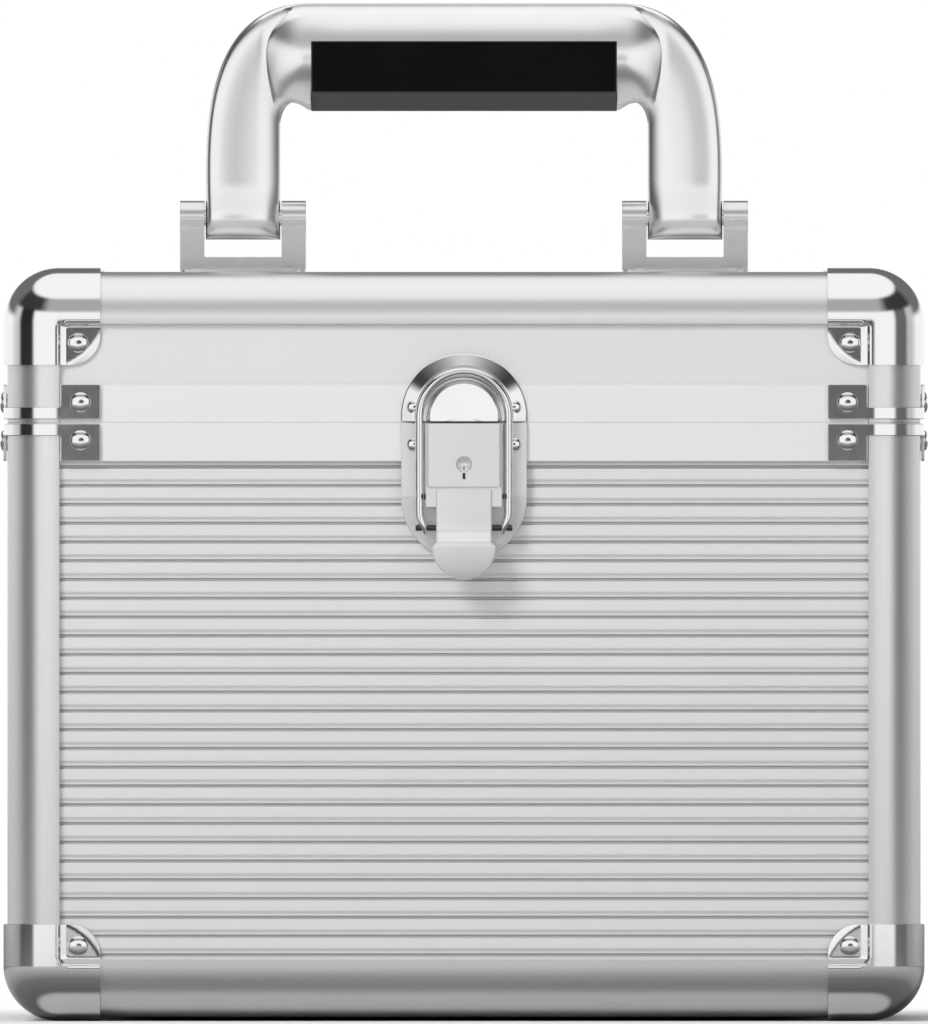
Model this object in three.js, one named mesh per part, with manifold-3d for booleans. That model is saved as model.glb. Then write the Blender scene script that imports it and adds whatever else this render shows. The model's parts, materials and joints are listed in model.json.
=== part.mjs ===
// Protective carrying case for bare hard drives: panels in rounded edge profiles, ball corner
// caps, corner braces, a rear hinge, a draw latch with a wire bail and a folding handle.
// Millimetres, +X to the right, -Y to the front, +Z up. The origin lies on the ground under
// the middle of the whole outline.
import * as THREE from "three";
import { RoundedBoxGeometry } from "three/addons/geometries/RoundedBoxGeometry.js";
import { mergeVertices } from "three/addons/utils/BufferGeometryUtils.js";
import Module from "manifold-3d";

const wasm = await Module();
wasm.setup();

// Driving dimensions
const drive = { thick: 26.1, wide: 101.6, long: 147 }; // a bare 3.5 inch drive
const driveCount = 5;
const gap = 0.3; // left between pieces that touch
const runningGap = 0.25; // around pins and the bail's ends
const overrun = 2; // how far every cut runs past what it cuts
const panelThick = 4;
const partingGap = 0.5; // between the base and the closed lid
const barePost = 4.9; // corner profile that shows between the lid's caps and braces

// Foam inside
const tray = { slotPlay: 1.4, rib: 13.15, margin: 11.2, floor: 14 };
const lining = { pad: 11.9, wall: 3, drivePlay: 1 };

// Extruded profiles
const profile = { leg: 13.3, flat: 0.3, wall: 1.2, web: 1.2, arcSteps: 6 };
const rim = { height: 9.1, groove: 1.6, tongue: 1.8, tongueRise: 1.7, tongueIn: 3.2 };

// Ribbed sheet of the base
const rib = { pitch: 4.743, groove: 0.9, depth: 0.6, shelf: 0.25, firstDrop: 5.5 };
const ribShares = { floor: 0.33, shelf: 0.33, land: 0.455 }; // of the groove, then of the pitch

// Pressed caps and braces
const sheet = 0.7;
const cap = { reach: 23.6, earRadius: 7.6, rivetIn: 3.7, segments: 4, earSides: 16 };
const brace = { band: 3 };
const rivet = { radius: 2.6, height: 0.9, sides: 8 };
const rivetShoulderShares = { radius: 0.72, height: 0.72 }; // of the head's radius and height

// Rear hinge
const hinge = { endRoom: 11.9, knuckles: 9, radius: 2.4, pin: 1.1, leaf: 1, leafDrop: 8.7, sides: 12 };
const hingeScrew = { radius: 1.7, height: 0.4, count: 5 };

// Front latch
const latch = { radius: 15.9, plate: 0.8, centreRise: 1, drop: 19.1, padInset: 1.2, sides: 32 };
const catchBevel = { inset: 3.4, rise: 0.9 };
const boss = { taper: 1.5, height: 3.5, foot: 0.6 };
const bail = {
  wire: 1.1, halfWidth: 11.25, standOff: 0.7, bend: 3.4, bendIn: 1.9, steps: 56, sides: 8,
};
const housing = { halfWidth: 9.75, wall: 1.4, face: 1.2, length: 15.9, cheek: 5.1 };
const lever = {
  halfWidth: 7.05, wall: 1.4, plate: 1.2, over: 1.8, head: 1.3, heel: 1.8, pivotDrop: 2.8,
  bailDrop: 8, overCentre: 1.2, length: 9.5, kick: 2.5, kickRun: 2.4, tongueHalf: 8.1,
  tongueLength: 9.2, stud: 1.3, tail: 2.4, cheek: 3.1,
};
const leverTipShare = 0.45; // of the tongue's length that its rounded end takes up
const barrel = { radius: 1.95, proud: 0.4, drop: 10.6, slotHalf: 0.4, slotLength: 1.3, sides: 16 };

// Handle
const handle = {
  halfSpan: 65.7, leg: 19, end: 5.6, bevel: 3, bevelSteps: 3, top: 54.5, under: 27.4,
  cornerX: 27.7, cornerZ: 43, cornerPower: 2.5, cornerSteps: 9, innerCorner: 4, innerSteps: 4,
};
const bar = { halfLength: 52.2, depth: 14, crownDrop: 1.7, corner: 10, bevel: 1.4, steps: 4 };
const pivot = { rise: 14.1, pin: 2, sides: 12 };
const grip = { halfLength: 38.6, height: 17.8, cover: 3, core: 7, proud: 0.4, corner: 3, steps: 4 };
const bracket = { ear: 6.2, ride: 4.3, upright: 5.5, base: 2, foot: 26, saddle: 5.3, boltIn: 4.4 };

// Sizes that follow
const recess = profile.wall + gap; // panel face behind the profile face
const radius = profile.leg - profile.flat;
const innerRadius = radius - profile.wall;
const flangeAt = recess + panelThick + gap;
const wallStack = flangeAt + profile.wall;
const rimInner = wallStack + gap + profile.wall;
const proud = gap + sheet; // caps and braces beyond the profile face
const lipChord = Math.sqrt(innerRadius ** 2 - (radius - recess) ** 2);
const panelInset = radius - lipChord + gap;
const endInset = profile.leg + gap;
const slotX = drive.thick + tray.slotPlay;
const slotY = drive.wide + tray.slotPlay;
const innerX = (driveCount * slotX + (driveCount + 1) * tray.rib) / 2;
const innerY = slotY / 2 + tray.margin;
const halfX = innerX + gap + wallStack;
const halfY = innerY + gap + wallStack;
const frameBottom = proud;
const trayBottom = frameBottom + wallStack + gap;
const slotFloor = trayBottom + tray.floor;
const padUnder = slotFloor + drive.long + lining.drivePlay;
const liningTop = padUnder + lining.pad;
const frameTop = liningTop + gap + wallStack;
const lidBottom = frameTop - cap.reach - barePost - rim.height;
const baseTop = lidBottom - partingGap;
const lidWeb = rim.groove + profile.wall;
const trayTop = baseTop - rim.height - gap;

const paint = (color, roughness, metalness) =>
  new THREE.MeshStandardMaterial({ color, roughness, metalness });
const materials = {
  profile: paint(0xd9dadc, 0.32, 0.9),
  panel: paint(0xcfd0d2, 0.45, 0.85),
  chrome: paint(0xe4e5e7, 0.12, 1),
  steel: paint(0xbfc1c4, 0.3, 1),
  rubber: paint(0x0c0c0d, 0.75, 0),
  foam: paint(0x1b1c1e, 0.95, 0),
};

const model = new THREE.Group();

// A closed geometry as a solid that can be joined and cut
function solidOf(geometry) {
  const bare = geometry.clone();
  bare.deleteAttribute("normal");
  bare.deleteAttribute("uv");
  const merged = mergeVertices(bare, 1e-4);
  return new wasm.Manifold(
    new wasm.Mesh({
      numProp: 3,
      vertProperties: merged.attributes.position.array,
      triVerts: new Uint32Array(merged.index.array),
    }),
  );
}

function geometryOf(solid) {
  const mesh = solid.getMesh();
  const geometry = new THREE.BufferGeometry();
  geometry.setAttribute("position", new THREE.BufferAttribute(mesh.vertProperties, 3));
  geometry.setIndex(new THREE.BufferAttribute(mesh.triVerts, 1));
  const faceted = geometry.toNonIndexed();
  faceted.computeVertexNormals();
  return faceted;
}

function addMesh(name, solid, material) {
  const mesh = new THREE.Mesh(geometryOf(solid), material);
  mesh.name = name;
  model.add(mesh);
  return mesh;
}

const joined = (solids) => solids.reduce((whole, solid) => whole.add(solid));

function box([x0, x1], [y0, y1], [z0, z1]) {
  const geometry = new THREE.BoxGeometry(x1 - x0, y1 - y0, z1 - z0);
  return solidOf(geometry.translate((x0 + x1) / 2, (y0 + y1) / 2, (z0 + z1) / 2));
}

// An outline of [first, second] points extruded along an axis, between two places on it
function prism(axis, points, [from, to]) {
  const shape = new THREE.Shape(points.map(([a, b]) => new THREE.Vector2(a, b)));
  const geometry = new THREE.ExtrudeGeometry(shape, { depth: to - from, bevelEnabled: false });
  if (axis === "z") geometry.translate(0, 0, from);
  if (axis === "y") geometry.rotateX(Math.PI / 2).translate(0, to, 0);
  if (axis === "x") {
    const turn = new THREE.Matrix4().makeBasis(
      new THREE.Vector3(0, 1, 0), new THREE.Vector3(0, 0, 1), new THREE.Vector3(1, 0, 0),
    );
    geometry.applyMatrix4(turn).translate(from, 0, 0);
  }
  return solidOf(geometry);
}

// A cone or cylinder along an axis: its radii at the two places, and where its middle line is
function cone(axis, [from, to], [startRadius, endRadius], [a, b], sides) {
  const geometry = new THREE.CylinderGeometry(endRadius, startRadius, to - from, sides);
  const middle = (from + to) / 2;
  if (axis === "x") geometry.rotateZ(-Math.PI / 2).translate(middle, a, b);
  if (axis === "y") geometry.translate(a, middle, b);
  if (axis === "z") geometry.rotateX(Math.PI / 2).translate(a, b, middle);
  return solidOf(geometry);
}

const cylinder = (axis, span, size, place, sides) => cone(axis, span, [size, size], place, sides);

function arc([a, b], size, fromTurn, toTurn, steps) {
  return Array.from({ length: steps + 1 }, (_, i) => {
    const angle = 2 * Math.PI * (fromTurn + ((toTurn - fromTurn) * i) / steps);
    return [a + size * Math.cos(angle), b + size * Math.sin(angle)];
  });
}

// A low domed rivet head, with its foot at a point and its crown along a direction
function rivetHead([x, y, z], [dx, dy, dz], size = rivet.radius, height = rivet.height) {
  const foot = sheet / 2;
  const outline = [
    [0, -foot],
    [size, -foot],
    [size, 0],
    [size * rivetShoulderShares.radius, height * rivetShoulderShares.height],
    [0, height],
  ].map(([a, b]) => new THREE.Vector2(a, b));
  const geometry = new THREE.LatheGeometry(outline, rivet.sides);
  const turn = new THREE.Quaternion().setFromUnitVectors(
    new THREE.Vector3(0, 1, 0), new THREE.Vector3(dx, dy, dz),
  );
  return solidOf(geometry.applyQuaternion(turn).translate(x, y, z));
}

// The four walls: each is built at the front and turned round the case's middle
const walls = [
  { name: "front", turn: 0, reach: halfY, half: halfX },
  { name: "right", turn: 1, reach: halfX, half: halfY },
  { name: "back", turn: 2, reach: halfY, half: halfX },
  { name: "left", turn: 3, reach: halfX, half: halfY },
];
const corners = [
  { name: "front_left", x: -1, y: -1 },
  { name: "front_right", x: 1, y: -1 },
  { name: "back_left", x: -1, y: 1 },
  { name: "back_right", x: 1, y: 1 },
];

// Section of an edge profile, with the case's outer edge at the origin: a rounded outer wall,
// a web, and an inner angle behind the panels
function profileSection() {
  const { leg, wall, web, arcSteps } = profile;
  const centre = [radius, radius];
  const webTurn = Math.asin(web / 2 / innerRadius) / (2 * Math.PI);
  const webFoot = flangeAt + web * Math.SQRT1_2;
  const inner = flangeAt + wall;
  const halfSteps = arcSteps / 2;
  return [
    [leg, 0],
    ...arc(centre, radius, 0.75, 0.5, arcSteps),
    [0, leg],
    [wall, leg],
    ...arc(centre, innerRadius, 0.5, 0.625 - webTurn, halfSteps),
    [flangeAt, webFoot],
    [flangeAt, leg],
    [inner, leg],
    [inner, inner],
    [leg, inner],
    [leg, flangeAt],
    [webFoot, flangeAt],
    ...arc(centre, innerRadius, 0.625 + webTurn, 0.75, halfSteps),
    [leg, wall],
  ];
}

function addEdgeProfiles() {
  const section = profileSection();
  for (const { name, turn, reach, half } of walls) {
    const span = [endInset - half, half - endInset];
    const top = section.map(([a, b]) => [a - reach, frameTop - b]);
    const bottom = section.map(([a, b]) => [a - reach, frameBottom + b]);
    const rails = {
      [`lid_top_edge_${name}`]: prism("x", top, span),
      [`base_bottom_edge_${name}`]: prism("x", bottom, span),
    };
    for (const [rail, solid] of Object.entries(rails))
      addMesh(rail, solid, materials.profile).rotation.z = (turn * Math.PI) / 2;
  }
  for (const { name, x, y } of corners) {
    const plan = section.map(([a, b]) => [x * (halfX - a), y * (halfY - b)]);
    const lidSpan = [lidBottom, frameTop - endInset];
    const baseSpan = [frameBottom + endInset, baseTop];
    addMesh(`lid_post_${name}`, prism("z", plan, lidSpan), materials.profile);
    addMesh(`base_post_${name}`, prism("z", plan, baseSpan), materials.profile);
  }
}

// Outline of the ribbed sheet from the outer face inwards: a row of grooves, each with a sunken
// shelf, a slope and a land above it
function ribbedSection(reach, bottom, top) {
  const face = recess - reach;
  const count = Math.floor((top - bottom - rib.firstDrop) / rib.pitch);
  const points = [[face, bottom]];
  for (let i = count; i >= 0; i -= 1) {
    const z = top - rib.firstDrop - i * rib.pitch;
    const floor = rib.groove * ribShares.floor;
    if (z <= bottom) continue;
    points.push([face, z], [face + rib.depth, z + floor]);
    points.push([face + rib.depth, z + rib.groove - floor], [face + rib.shelf, z + rib.groove]);
    points.push([face + rib.shelf, z + rib.pitch * ribShares.shelf]);
    points.push([face, z + rib.pitch * ribShares.land]);
  }
  return [...points, [face, top], [face + panelThick, top], [face + panelThick, bottom]];
}

function addPanels() {
  const baseSpan = [frameBottom + panelInset, baseTop - profile.wall - gap];
  const lidSpan = [lidBottom + lidWeb + gap, frameTop - panelInset];
  for (const { name, turn, reach, half } of walls) {
    const width = [panelInset - half, half - panelInset];
    const ribbed = prism("x", ribbedSection(reach, ...baseSpan), width);
    const plain = box(width, [recess - reach, recess + panelThick - reach], lidSpan);
    addMesh(`base_panel_${name}`, ribbed, materials.panel).rotation.z = (turn * Math.PI) / 2;
    addMesh(`lid_panel_${name}`, plain, materials.panel).rotation.z = (turn * Math.PI) / 2;
  }
  const across = [panelInset - halfX, halfX - panelInset];
  const along = [panelInset - halfY, halfY - panelInset];
  const topAt = [frameTop - recess - panelThick, frameTop - recess];
  const bottomAt = [frameBottom + recess, frameBottom + recess + panelThick];
  addMesh("lid_panel_top", box(across, along, topAt), materials.panel);
  addMesh("base_panel_bottom", box(across, along, bottomAt), materials.panel);
}

// A rectangular frame between two depths behind the case's faces
function ring(outerDepth, innerDepth, span) {
  const slab = (depth, height) =>
    box([depth - halfX, halfX - depth], [depth - halfY, halfY - depth], height);
  const past = [span[0] - overrun, span[1] + overrun];
  return slab(outerDepth, span).subtract(slab(innerDepth, past));
}

// What the corner profiles take out of a rim: an L round each, which leaves a strip behind it
function postNotches(span) {
  const long = endInset;
  const short = wallStack + gap;
  return joined(
    corners.flatMap(({ x, y }) =>
      [[long, short], [short, long]].map(([u, v]) => {
        const spanX = [x * (halfX + overrun), x * (halfX - u)].sort((a, b) => a - b);
        const spanY = [y * (halfY + overrun), y * (halfY - v)].sort((a, b) => a - b);
        return box(spanX, spanY, span);
      }),
    ),
  );
}

function addRims() {
  const channel = [profile.wall, wallStack + gap];
  const baseSpan = [baseTop - rim.height, baseTop];
  const lidSpan = [lidBottom, lidBottom + rim.height];
  const tongueSpan = [baseTop - profile.wall / 2, baseTop + rim.tongueRise];
  const tongueEnd = [rim.tongueIn, rim.tongueIn + rim.tongue];
  const rearClear = box(
    [-halfX - overrun, halfX + overrun], [halfY - endInset, halfY + overrun],
    [baseTop, baseTop + rim.tongueRise + overrun],
  );
  const tongue = ring(...tongueEnd, tongueSpan).subtract(rearClear);
  const baseRim = ring(0, rimInner, baseSpan)
    .subtract(ring(...channel, [baseSpan[0] - overrun, baseTop - profile.wall]))
    .add(tongue)
    .subtract(postNotches([baseSpan[0] - overrun, baseTop + rim.tongueRise + overrun]));
  const grooveSides = [rim.tongueIn - gap, rim.tongueIn + rim.tongue + gap];
  const lidRim = ring(0, rimInner, lidSpan)
    .subtract(ring(...channel, [lidBottom + lidWeb, lidSpan[1] + overrun]))
    .subtract(ring(...grooveSides, [lidBottom - overrun, lidBottom + rim.groove]))
    .subtract(postNotches([lidSpan[0] - overrun, lidSpan[1] + overrun]));
  addMesh("base_rim", baseRim, materials.profile);
  addMesh("lid_rim", lidRim, materials.profile);
}

// The solid behind a rounded outer corner whose three faces lie at an offset
function cornerBlock(offset, size) {
  const side = 2 * (cap.reach + size);
  const geometry = new RoundedBoxGeometry(side, side, side, cap.segments, size);
  const middle = offset + side / 2;
  return solidOf(geometry.translate(middle, middle, middle));
}

// Turns a solid built for the face across z so that it serves the faces across x and y too
function threeFaces(build) {
  const along = (order) => build((spans) => box(...order.map((i) => spans[i])), order);
  return joined([along([0, 1, 2]), along([1, 2, 0]), along([2, 0, 1])]);
}

// A ball corner cap for the corner at the origin, with the case towards +x, +y and +z: pressed
// over the three profiles, with an ear down on each panel
function cornerCap() {
  const { reach, earRadius, rivetIn } = cap;
  const step = endInset + sheet;
  const beyond = reach + 2 * radius;
  const low = -proud - overrun;
  const earFace = recess - gap - sheet;
  const bounds = box([low, reach], [low, reach], [low, reach]);
  const pocket = (from, face) =>
    threeFaces((make) => make([[from, beyond], [from, beyond], [low, face]]));
  const outer = cornerBlock(-proud, radius + proud).intersect(bounds).subtract(pocket(step, earFace));
  const inner = cornerBlock(-gap, radius + gap).subtract(pocket(endInset, recess - gap));
  const shell = outer.subtract(inner);
  const bend = reach - earRadius;
  const roundOff = ["z", "x", "y"].map((axis) => {
    const spans = { x: [bend, beyond], y: [bend, beyond], z: [bend, beyond], [axis]: [low, recess] };
    const through = [low - overrun, recess + overrun];
    const post = cylinder(axis, through, earRadius, [bend, bend], cap.earSides);
    return box(spans.x, spans.y, spans.z).subtract(post);
  });
  const at = step + rivetIn;
  const rivets = [
    rivetHead([at, at, earFace], [0, 0, -1]),
    rivetHead([at, earFace, at], [0, -1, 0]),
    rivetHead([earFace, at, at], [-1, 0, 0]),
  ];
  return joined([shell.subtract(joined(roundOff)), ...rivets]);
}

function addCaps() {
  const solid = cornerCap();
  for (const { name, x, y } of corners) {
    for (const [part, z, up] of [["lid", frameTop, 1], ["base", frameBottom, -1]]) {
      const mesh = addMesh(`${part}_cap_${name}`, solid, materials.chrome);
      mesh.position.set(x * halfX, y * halfY, z);
      mesh.scale.set(-x, -y, -up);
    }
  }
}

// A brace for the corner at the origin: a band round the profile beside the parting line, and
// a plate on the rim at each side of it
function cornerBrace() {
  const centre = [radius, radius];
  const plan = [
    [cap.reach, -proud],
    ...arc(centre, radius + proud, 0.75, 0.5, profile.arcSteps),
    [-proud, cap.reach],
    [-gap, cap.reach],
    ...arc(centre, radius + gap, 0.5, 0.75, profile.arcSteps),
    [cap.reach, -gap],
  ];
  const above = box(
    [-proud - overrun, endInset], [-proud - overrun, endInset], [brace.band, rim.height + overrun],
  );
  const middle = (endInset + cap.reach) / 2;
  return joined([
    prism("z", plan, [0, rim.height]).subtract(above),
    rivetHead([middle, -proud, rim.height / 2], [0, -1, 0]),
    rivetHead([-proud, middle, rim.height / 2], [-1, 0, 0]),
  ]);
}

function addBraces() {
  const solid = cornerBrace();
  for (const { name, x, y } of corners) {
    for (const [part, z, up] of [["lid", lidBottom, 1], ["base", baseTop, -1]]) {
      const mesh = addMesh(`${part}_brace_${name}`, solid, materials.chrome);
      mesh.position.set(x * halfX, y * halfY, z);
      mesh.scale.set(-x, -y, up);
    }
  }
}

function addFoam() {
  const block = box([-innerX, innerX], [-innerY, innerY], [trayBottom, trayTop]);
  const slots = Array.from({ length: driveCount }, (_, i) => {
    const left = -innerX + tray.rib + i * (slotX + tray.rib);
    return box([left, left + slotX], [-slotY / 2, slotY / 2], [slotFloor, trayTop + overrun]);
  });
  addMesh("drive_tray", block.subtract(joined(slots)), materials.foam);
  const mouth = lidBottom + rim.height + gap;
  const cover = box([-innerX, innerX], [-innerY, innerY], [mouth, liningTop]);
  const hollowX = innerX - lining.wall;
  const hollowY = innerY - lining.wall;
  const hollow = box([-hollowX, hollowX], [-hollowY, hollowY], [mouth - overrun, padUnder]);
  addMesh("lid_lining", cover.subtract(hollow), materials.foam);
}

// The rear hinge fills the room between the braces, and turns about a line behind the case
const hingeLength = 2 * (halfX - cap.reach - hinge.endRoom);
const hingeY = halfY + gap + hinge.radius;
const hingeZ = (baseTop + lidBottom) / 2;

// One leaf of the rear hinge, for up = 1 on the lid and up = -1 on the base
function hingeLeaf(up, first) {
  const step = hingeLength / hinge.knuckles;
  const inner = halfY + gap;
  const outer = inner + hinge.leaf;
  const spanZ = (from, to) => [hingeZ + up * from, hingeZ + up * to].sort((a, b) => a - b);
  const half = hingeLength / 2;
  const clear = hinge.radius + gap;
  const plate = box([-half, half], [inner, outer], spanZ(clear, hinge.leafDrop));
  const knuckles = [];
  for (let i = first; i < hinge.knuckles; i += 2) {
    const span = [-half + i * step + gap / 2, -half + (i + 1) * step - gap / 2];
    knuckles.push(box(span, [inner, outer], spanZ(0, clear + gap)));
    knuckles.push(cylinder("x", span, hinge.radius, [hingeY, hingeZ], hinge.sides));
  }
  const through = [-half - overrun, half + overrun];
  const bore = cylinder("x", through, hinge.pin + runningGap, [hingeY, hingeZ], hinge.sides);
  const screwAt = hingeZ + (up * (clear + hinge.leafDrop)) / 2;
  const screws = Array.from({ length: hingeScrew.count }, (_, i) => {
    const x = (hingeLength * (i + 0.5)) / hingeScrew.count - half;
    return rivetHead([x, outer, screwAt], [0, 1, 0], hingeScrew.radius, hingeScrew.height);
  });
  return joined([plate, ...knuckles]).subtract(bore).add(joined(screws));
}

function addHinge() {
  const span = [-hingeLength / 2, hingeLength / 2];
  addMesh("hinge_base_leaf", hingeLeaf(-1, 0), materials.steel);
  addMesh("hinge_lid_leaf", hingeLeaf(1, 1), materials.steel);
  const pin = cylinder("x", span, hinge.pin, [hingeY, hingeZ], hinge.sides);
  addMesh("hinge_pin", pin, materials.steel);
}

// Places of the latch's parts: out() turns a height above the front face into y
const out = (height) => -halfY - height;
const archZ = lidBottom + latch.centreRise;
const plateFace = gap + latch.plate;
const catchFace = plateFace + catchBevel.rise;
const wireOut = catchFace + bail.standOff + bail.wire;
const pivotOut = wireOut + lever.overCentre;
const leverOut = pivotOut + lever.over;
const faceBottom = baseTop - housing.length;
const pivotZ = faceBottom - lever.pivotDrop;
const bailZ = pivotZ - lever.bailDrop;

function catchPlate() {
  const outline = [
    [latch.radius, lidBottom],
    ...arc([0, archZ], latch.radius, 0, 0.5, latch.sides / 2),
    [-latch.radius, lidBottom],
  ];
  const padOutline = arc([0, archZ], latch.radius - latch.padInset, 0, 0.5, latch.sides / 2);
  const pad = prism("y", padOutline, [out(plateFace), out(gap - recess)]);
  const overRim = box(
    [-latch.radius, latch.radius], [out(gap), out(-recess)],
    [lidBottom - overrun, lidBottom + rim.height + gap],
  );
  const beyond = latch.radius + overrun;
  const depth = [out(catchFace + boss.height + overrun), out(0)];
  const above = box([-beyond, beyond], depth, [lidBottom, archZ + beyond]);
  const aboveBoss = box([-beyond, beyond], depth, [lidBottom + boss.foot, archZ + beyond]);
  const flat = latch.radius - catchBevel.inset;
  const bossFoot = bail.halfWidth - bail.wire - gap;
  const risen = [out(catchFace), out(plateFace)];
  const rise = cone("y", risen, [flat, latch.radius], [0, archZ], latch.sides);
  const hook = cone(
    "y", [out(catchFace + boss.height), out(plateFace)], [bossFoot - boss.taper, bossFoot],
    [0, archZ], latch.sides,
  );
  return joined([
    prism("y", outline, [out(plateFace), out(gap)]),
    pad.subtract(overRim),
    rise.intersect(above),
    hook.intersect(aboveBoss),
  ]);
}

function latchBasePlate() {
  const foot = baseTop - latch.drop;
  const outline = [
    [-latch.radius, baseTop],
    ...arc([0, foot], latch.radius, 0.5, 1, latch.sides / 2),
    [latch.radius, baseTop],
  ];
  const padRadius = latch.radius - latch.padInset;
  const padTop = baseTop - rim.height - gap;
  const padOutline = [
    [-padRadius, padTop],
    ...arc([0, foot], padRadius, 0.5, 1, latch.sides / 2),
    [padRadius, padTop],
  ];
  const { halfWidth, wall, face, cheek } = housing;
  const topZ = baseTop - gap;
  const shell = box([-halfWidth, halfWidth], [out(leverOut), out(plateFace - gap)], [faceBottom, topZ]);
  const hollow = box(
    [wall - halfWidth, halfWidth - wall], [out(leverOut - face), out(plateFace)],
    [faceBottom - overrun, topZ - wall],
  );
  const cheeks = [-1, 1].map((side) =>
    box(
      [side * halfWidth, side * (halfWidth - wall)].sort((a, b) => a - b),
      [out(leverOut), out(plateFace - gap)], [faceBottom - cheek, faceBottom + overrun],
    ),
  );
  const studEnd = lever.halfWidth - lever.wall - gap;
  const studs = [-1, 1].map((side) =>
    cylinder(
      "x", [side * (halfWidth - wall / 2), side * studEnd].sort((a, b) => a - b),
      lever.stud, [out(pivotOut), pivotZ], hinge.sides,
    ),
  );
  const bore = cylinder(
    "y", [out(leverOut + overrun), out(leverOut - face - overrun)], barrel.radius + gap,
    [0, baseTop - barrel.drop], barrel.sides,
  );
  return joined([
    prism("y", outline, [out(plateFace), out(gap)]),
    prism("y", padOutline, [out(plateFace), out(gap - recess)]),
    shell.subtract(hollow).subtract(bore),
    ...cheeks,
    ...studs,
  ]);
}

function keyBarrel() {
  const at = [0, baseTop - barrel.drop];
  const face = out(leverOut + barrel.proud);
  const body = cylinder("y", [face, out(plateFace + gap)], barrel.radius, at, barrel.sides);
  const slot = box(
    [-barrel.slotHalf, barrel.slotHalf], [face - overrun, face + barrel.proud],
    [at[1] - barrel.slotLength, at[1] + barrel.slotLength],
  );
  return body.subtract(slot);
}

function latchLever() {
  const { halfWidth, wall, plate, head, heel, length, kick, kickRun, tongueHalf, tail } = lever;
  const top = pivotZ + head;
  const bendTop = pivotZ - length;
  const bendFoot = bendTop - kickRun;
  const tip = bendFoot - lever.tongueLength;
  const side = [
    [out(leverOut), top], [out(leverOut), bendTop], [out(leverOut + kick), bendFoot],
    [out(leverOut + kick), tip], [out(leverOut + kick - plate), tip],
    [out(leverOut + kick - plate), bendFoot + plate / 2], [out(leverOut - plate), bendTop + plate / 2],
    [out(leverOut - plate), top],
  ];
  const roundZ = tip + lever.tongueLength * leverTipShare;
  const bottom = arc([0, 0], 1, 0.5, 1, latch.sides / 2).map(([a, b]) => [
    a * tongueHalf, roundZ + b * (roundZ - tip),
  ]);
  const front = [
    [-halfWidth, top], [-halfWidth, bendTop], [-tongueHalf, bendFoot], ...bottom,
    [tongueHalf, bendFoot], [halfWidth, bendTop], [halfWidth, top],
  ];
  const strap = prism("x", side, [-tongueHalf, tongueHalf]);
  const outline = prism("y", front, [out(leverOut + kick + overrun), out(0)]);
  const cheekIn = out(pivotOut - heel);
  const cheekDeep = out(wireOut - bail.wire - runningGap - lever.stud / 2);
  const cheek = [
    [out(leverOut), top], [cheekIn, top], [cheekDeep, bailZ + lever.cheek],
    [cheekDeep, bailZ - tail], [out(leverOut - plate / 2), bailZ - tail],
    [out(leverOut - plate / 2), bendTop], [out(leverOut), bendTop],
  ];
  const cheeks = [-1, 1].map((dir) => {
    const span = [dir * halfWidth, dir * (halfWidth - wall)].sort((a, b) => a - b);
    return prism("x", cheek, span);
  });
  const through = [-halfWidth - overrun, halfWidth + overrun];
  const pivotBore = cylinder(
    "x", through, lever.stud + runningGap, [out(pivotOut), pivotZ], hinge.sides,
  );
  const bailBore = cylinder(
    "x", through, bail.wire + runningGap, [out(wireOut), bailZ], hinge.sides,
  );
  const bores = joined([pivotBore, bailBore]);
  return joined([strap.intersect(outline), ...cheeks]).subtract(bores);
}

// A semicircle in the plane of the bail
class ArchCurve extends THREE.Curve {
  getPoint(t, target = new THREE.Vector3()) {
    const angle = Math.PI * (1 - t);
    const x = bail.halfWidth * Math.cos(angle);
    return target.set(x, out(wireOut), archZ + bail.halfWidth * Math.sin(angle));
  }
}

// The bail's wire: in through one cheek of the lever, up, over the boss, down and in again
function latchBail() {
  const point = (x, z) => new THREE.Vector3(x, out(wireOut), z);
  const half = bail.halfWidth;
  const end = lever.halfWidth - lever.wall;
  const route = new THREE.CurvePath();
  const side = (dir) => [
    point(dir * end, bailZ), point(dir * (half - bail.bendIn), bailZ),
    point(dir * half, bailZ + bail.bend), point(dir * half, archZ),
  ];
  const [endLeft, footLeft, bendLeft, archLeft] = side(-1);
  const [endRight, footRight, bendRight, archRight] = side(1);
  const knee = (a, b) => a.clone().lerp(b, 0.5);
  const corner = point(-half, bailZ);
  const otherCorner = point(half, bailZ);
  route.add(new THREE.LineCurve3(endLeft, footLeft));
  route.add(new THREE.QuadraticBezierCurve3(footLeft, knee(corner, footLeft), bendLeft));
  route.add(new THREE.LineCurve3(bendLeft, archLeft));
  route.add(new ArchCurve());
  route.add(new THREE.LineCurve3(archRight, bendRight));
  route.add(new THREE.QuadraticBezierCurve3(bendRight, knee(otherCorner, footRight), footRight));
  route.add(new THREE.LineCurve3(footRight, endRight));
  const wire = new THREE.Shape(
    arc([0, 0], bail.wire, 0, 1, bail.sides).slice(0, -1).map(([a, b]) => new THREE.Vector2(a, b)),
  );
  const geometry = new THREE.ExtrudeGeometry(wire, { steps: bail.steps, extrudePath: route });
  return solidOf(geometry);
}

function addLatch() {
  addMesh("catch_plate", catchPlate(), materials.chrome);
  addMesh("latch_base_plate", latchBasePlate(), materials.chrome);
  addMesh("key_barrel", keyBarrel(), materials.steel);
  addMesh("latch_lever", latchLever(), materials.chrome);
  addMesh("latch_bail", latchBail(), materials.chrome);
}

const pivotHeight = frameTop + pivot.rise;
const legMiddle = handle.halfSpan - handle.leg / 2;
const barTop = pivotHeight + handle.top;
const barUnder = pivotHeight + handle.under;
const gripTop = barUnder + grip.height;

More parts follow.
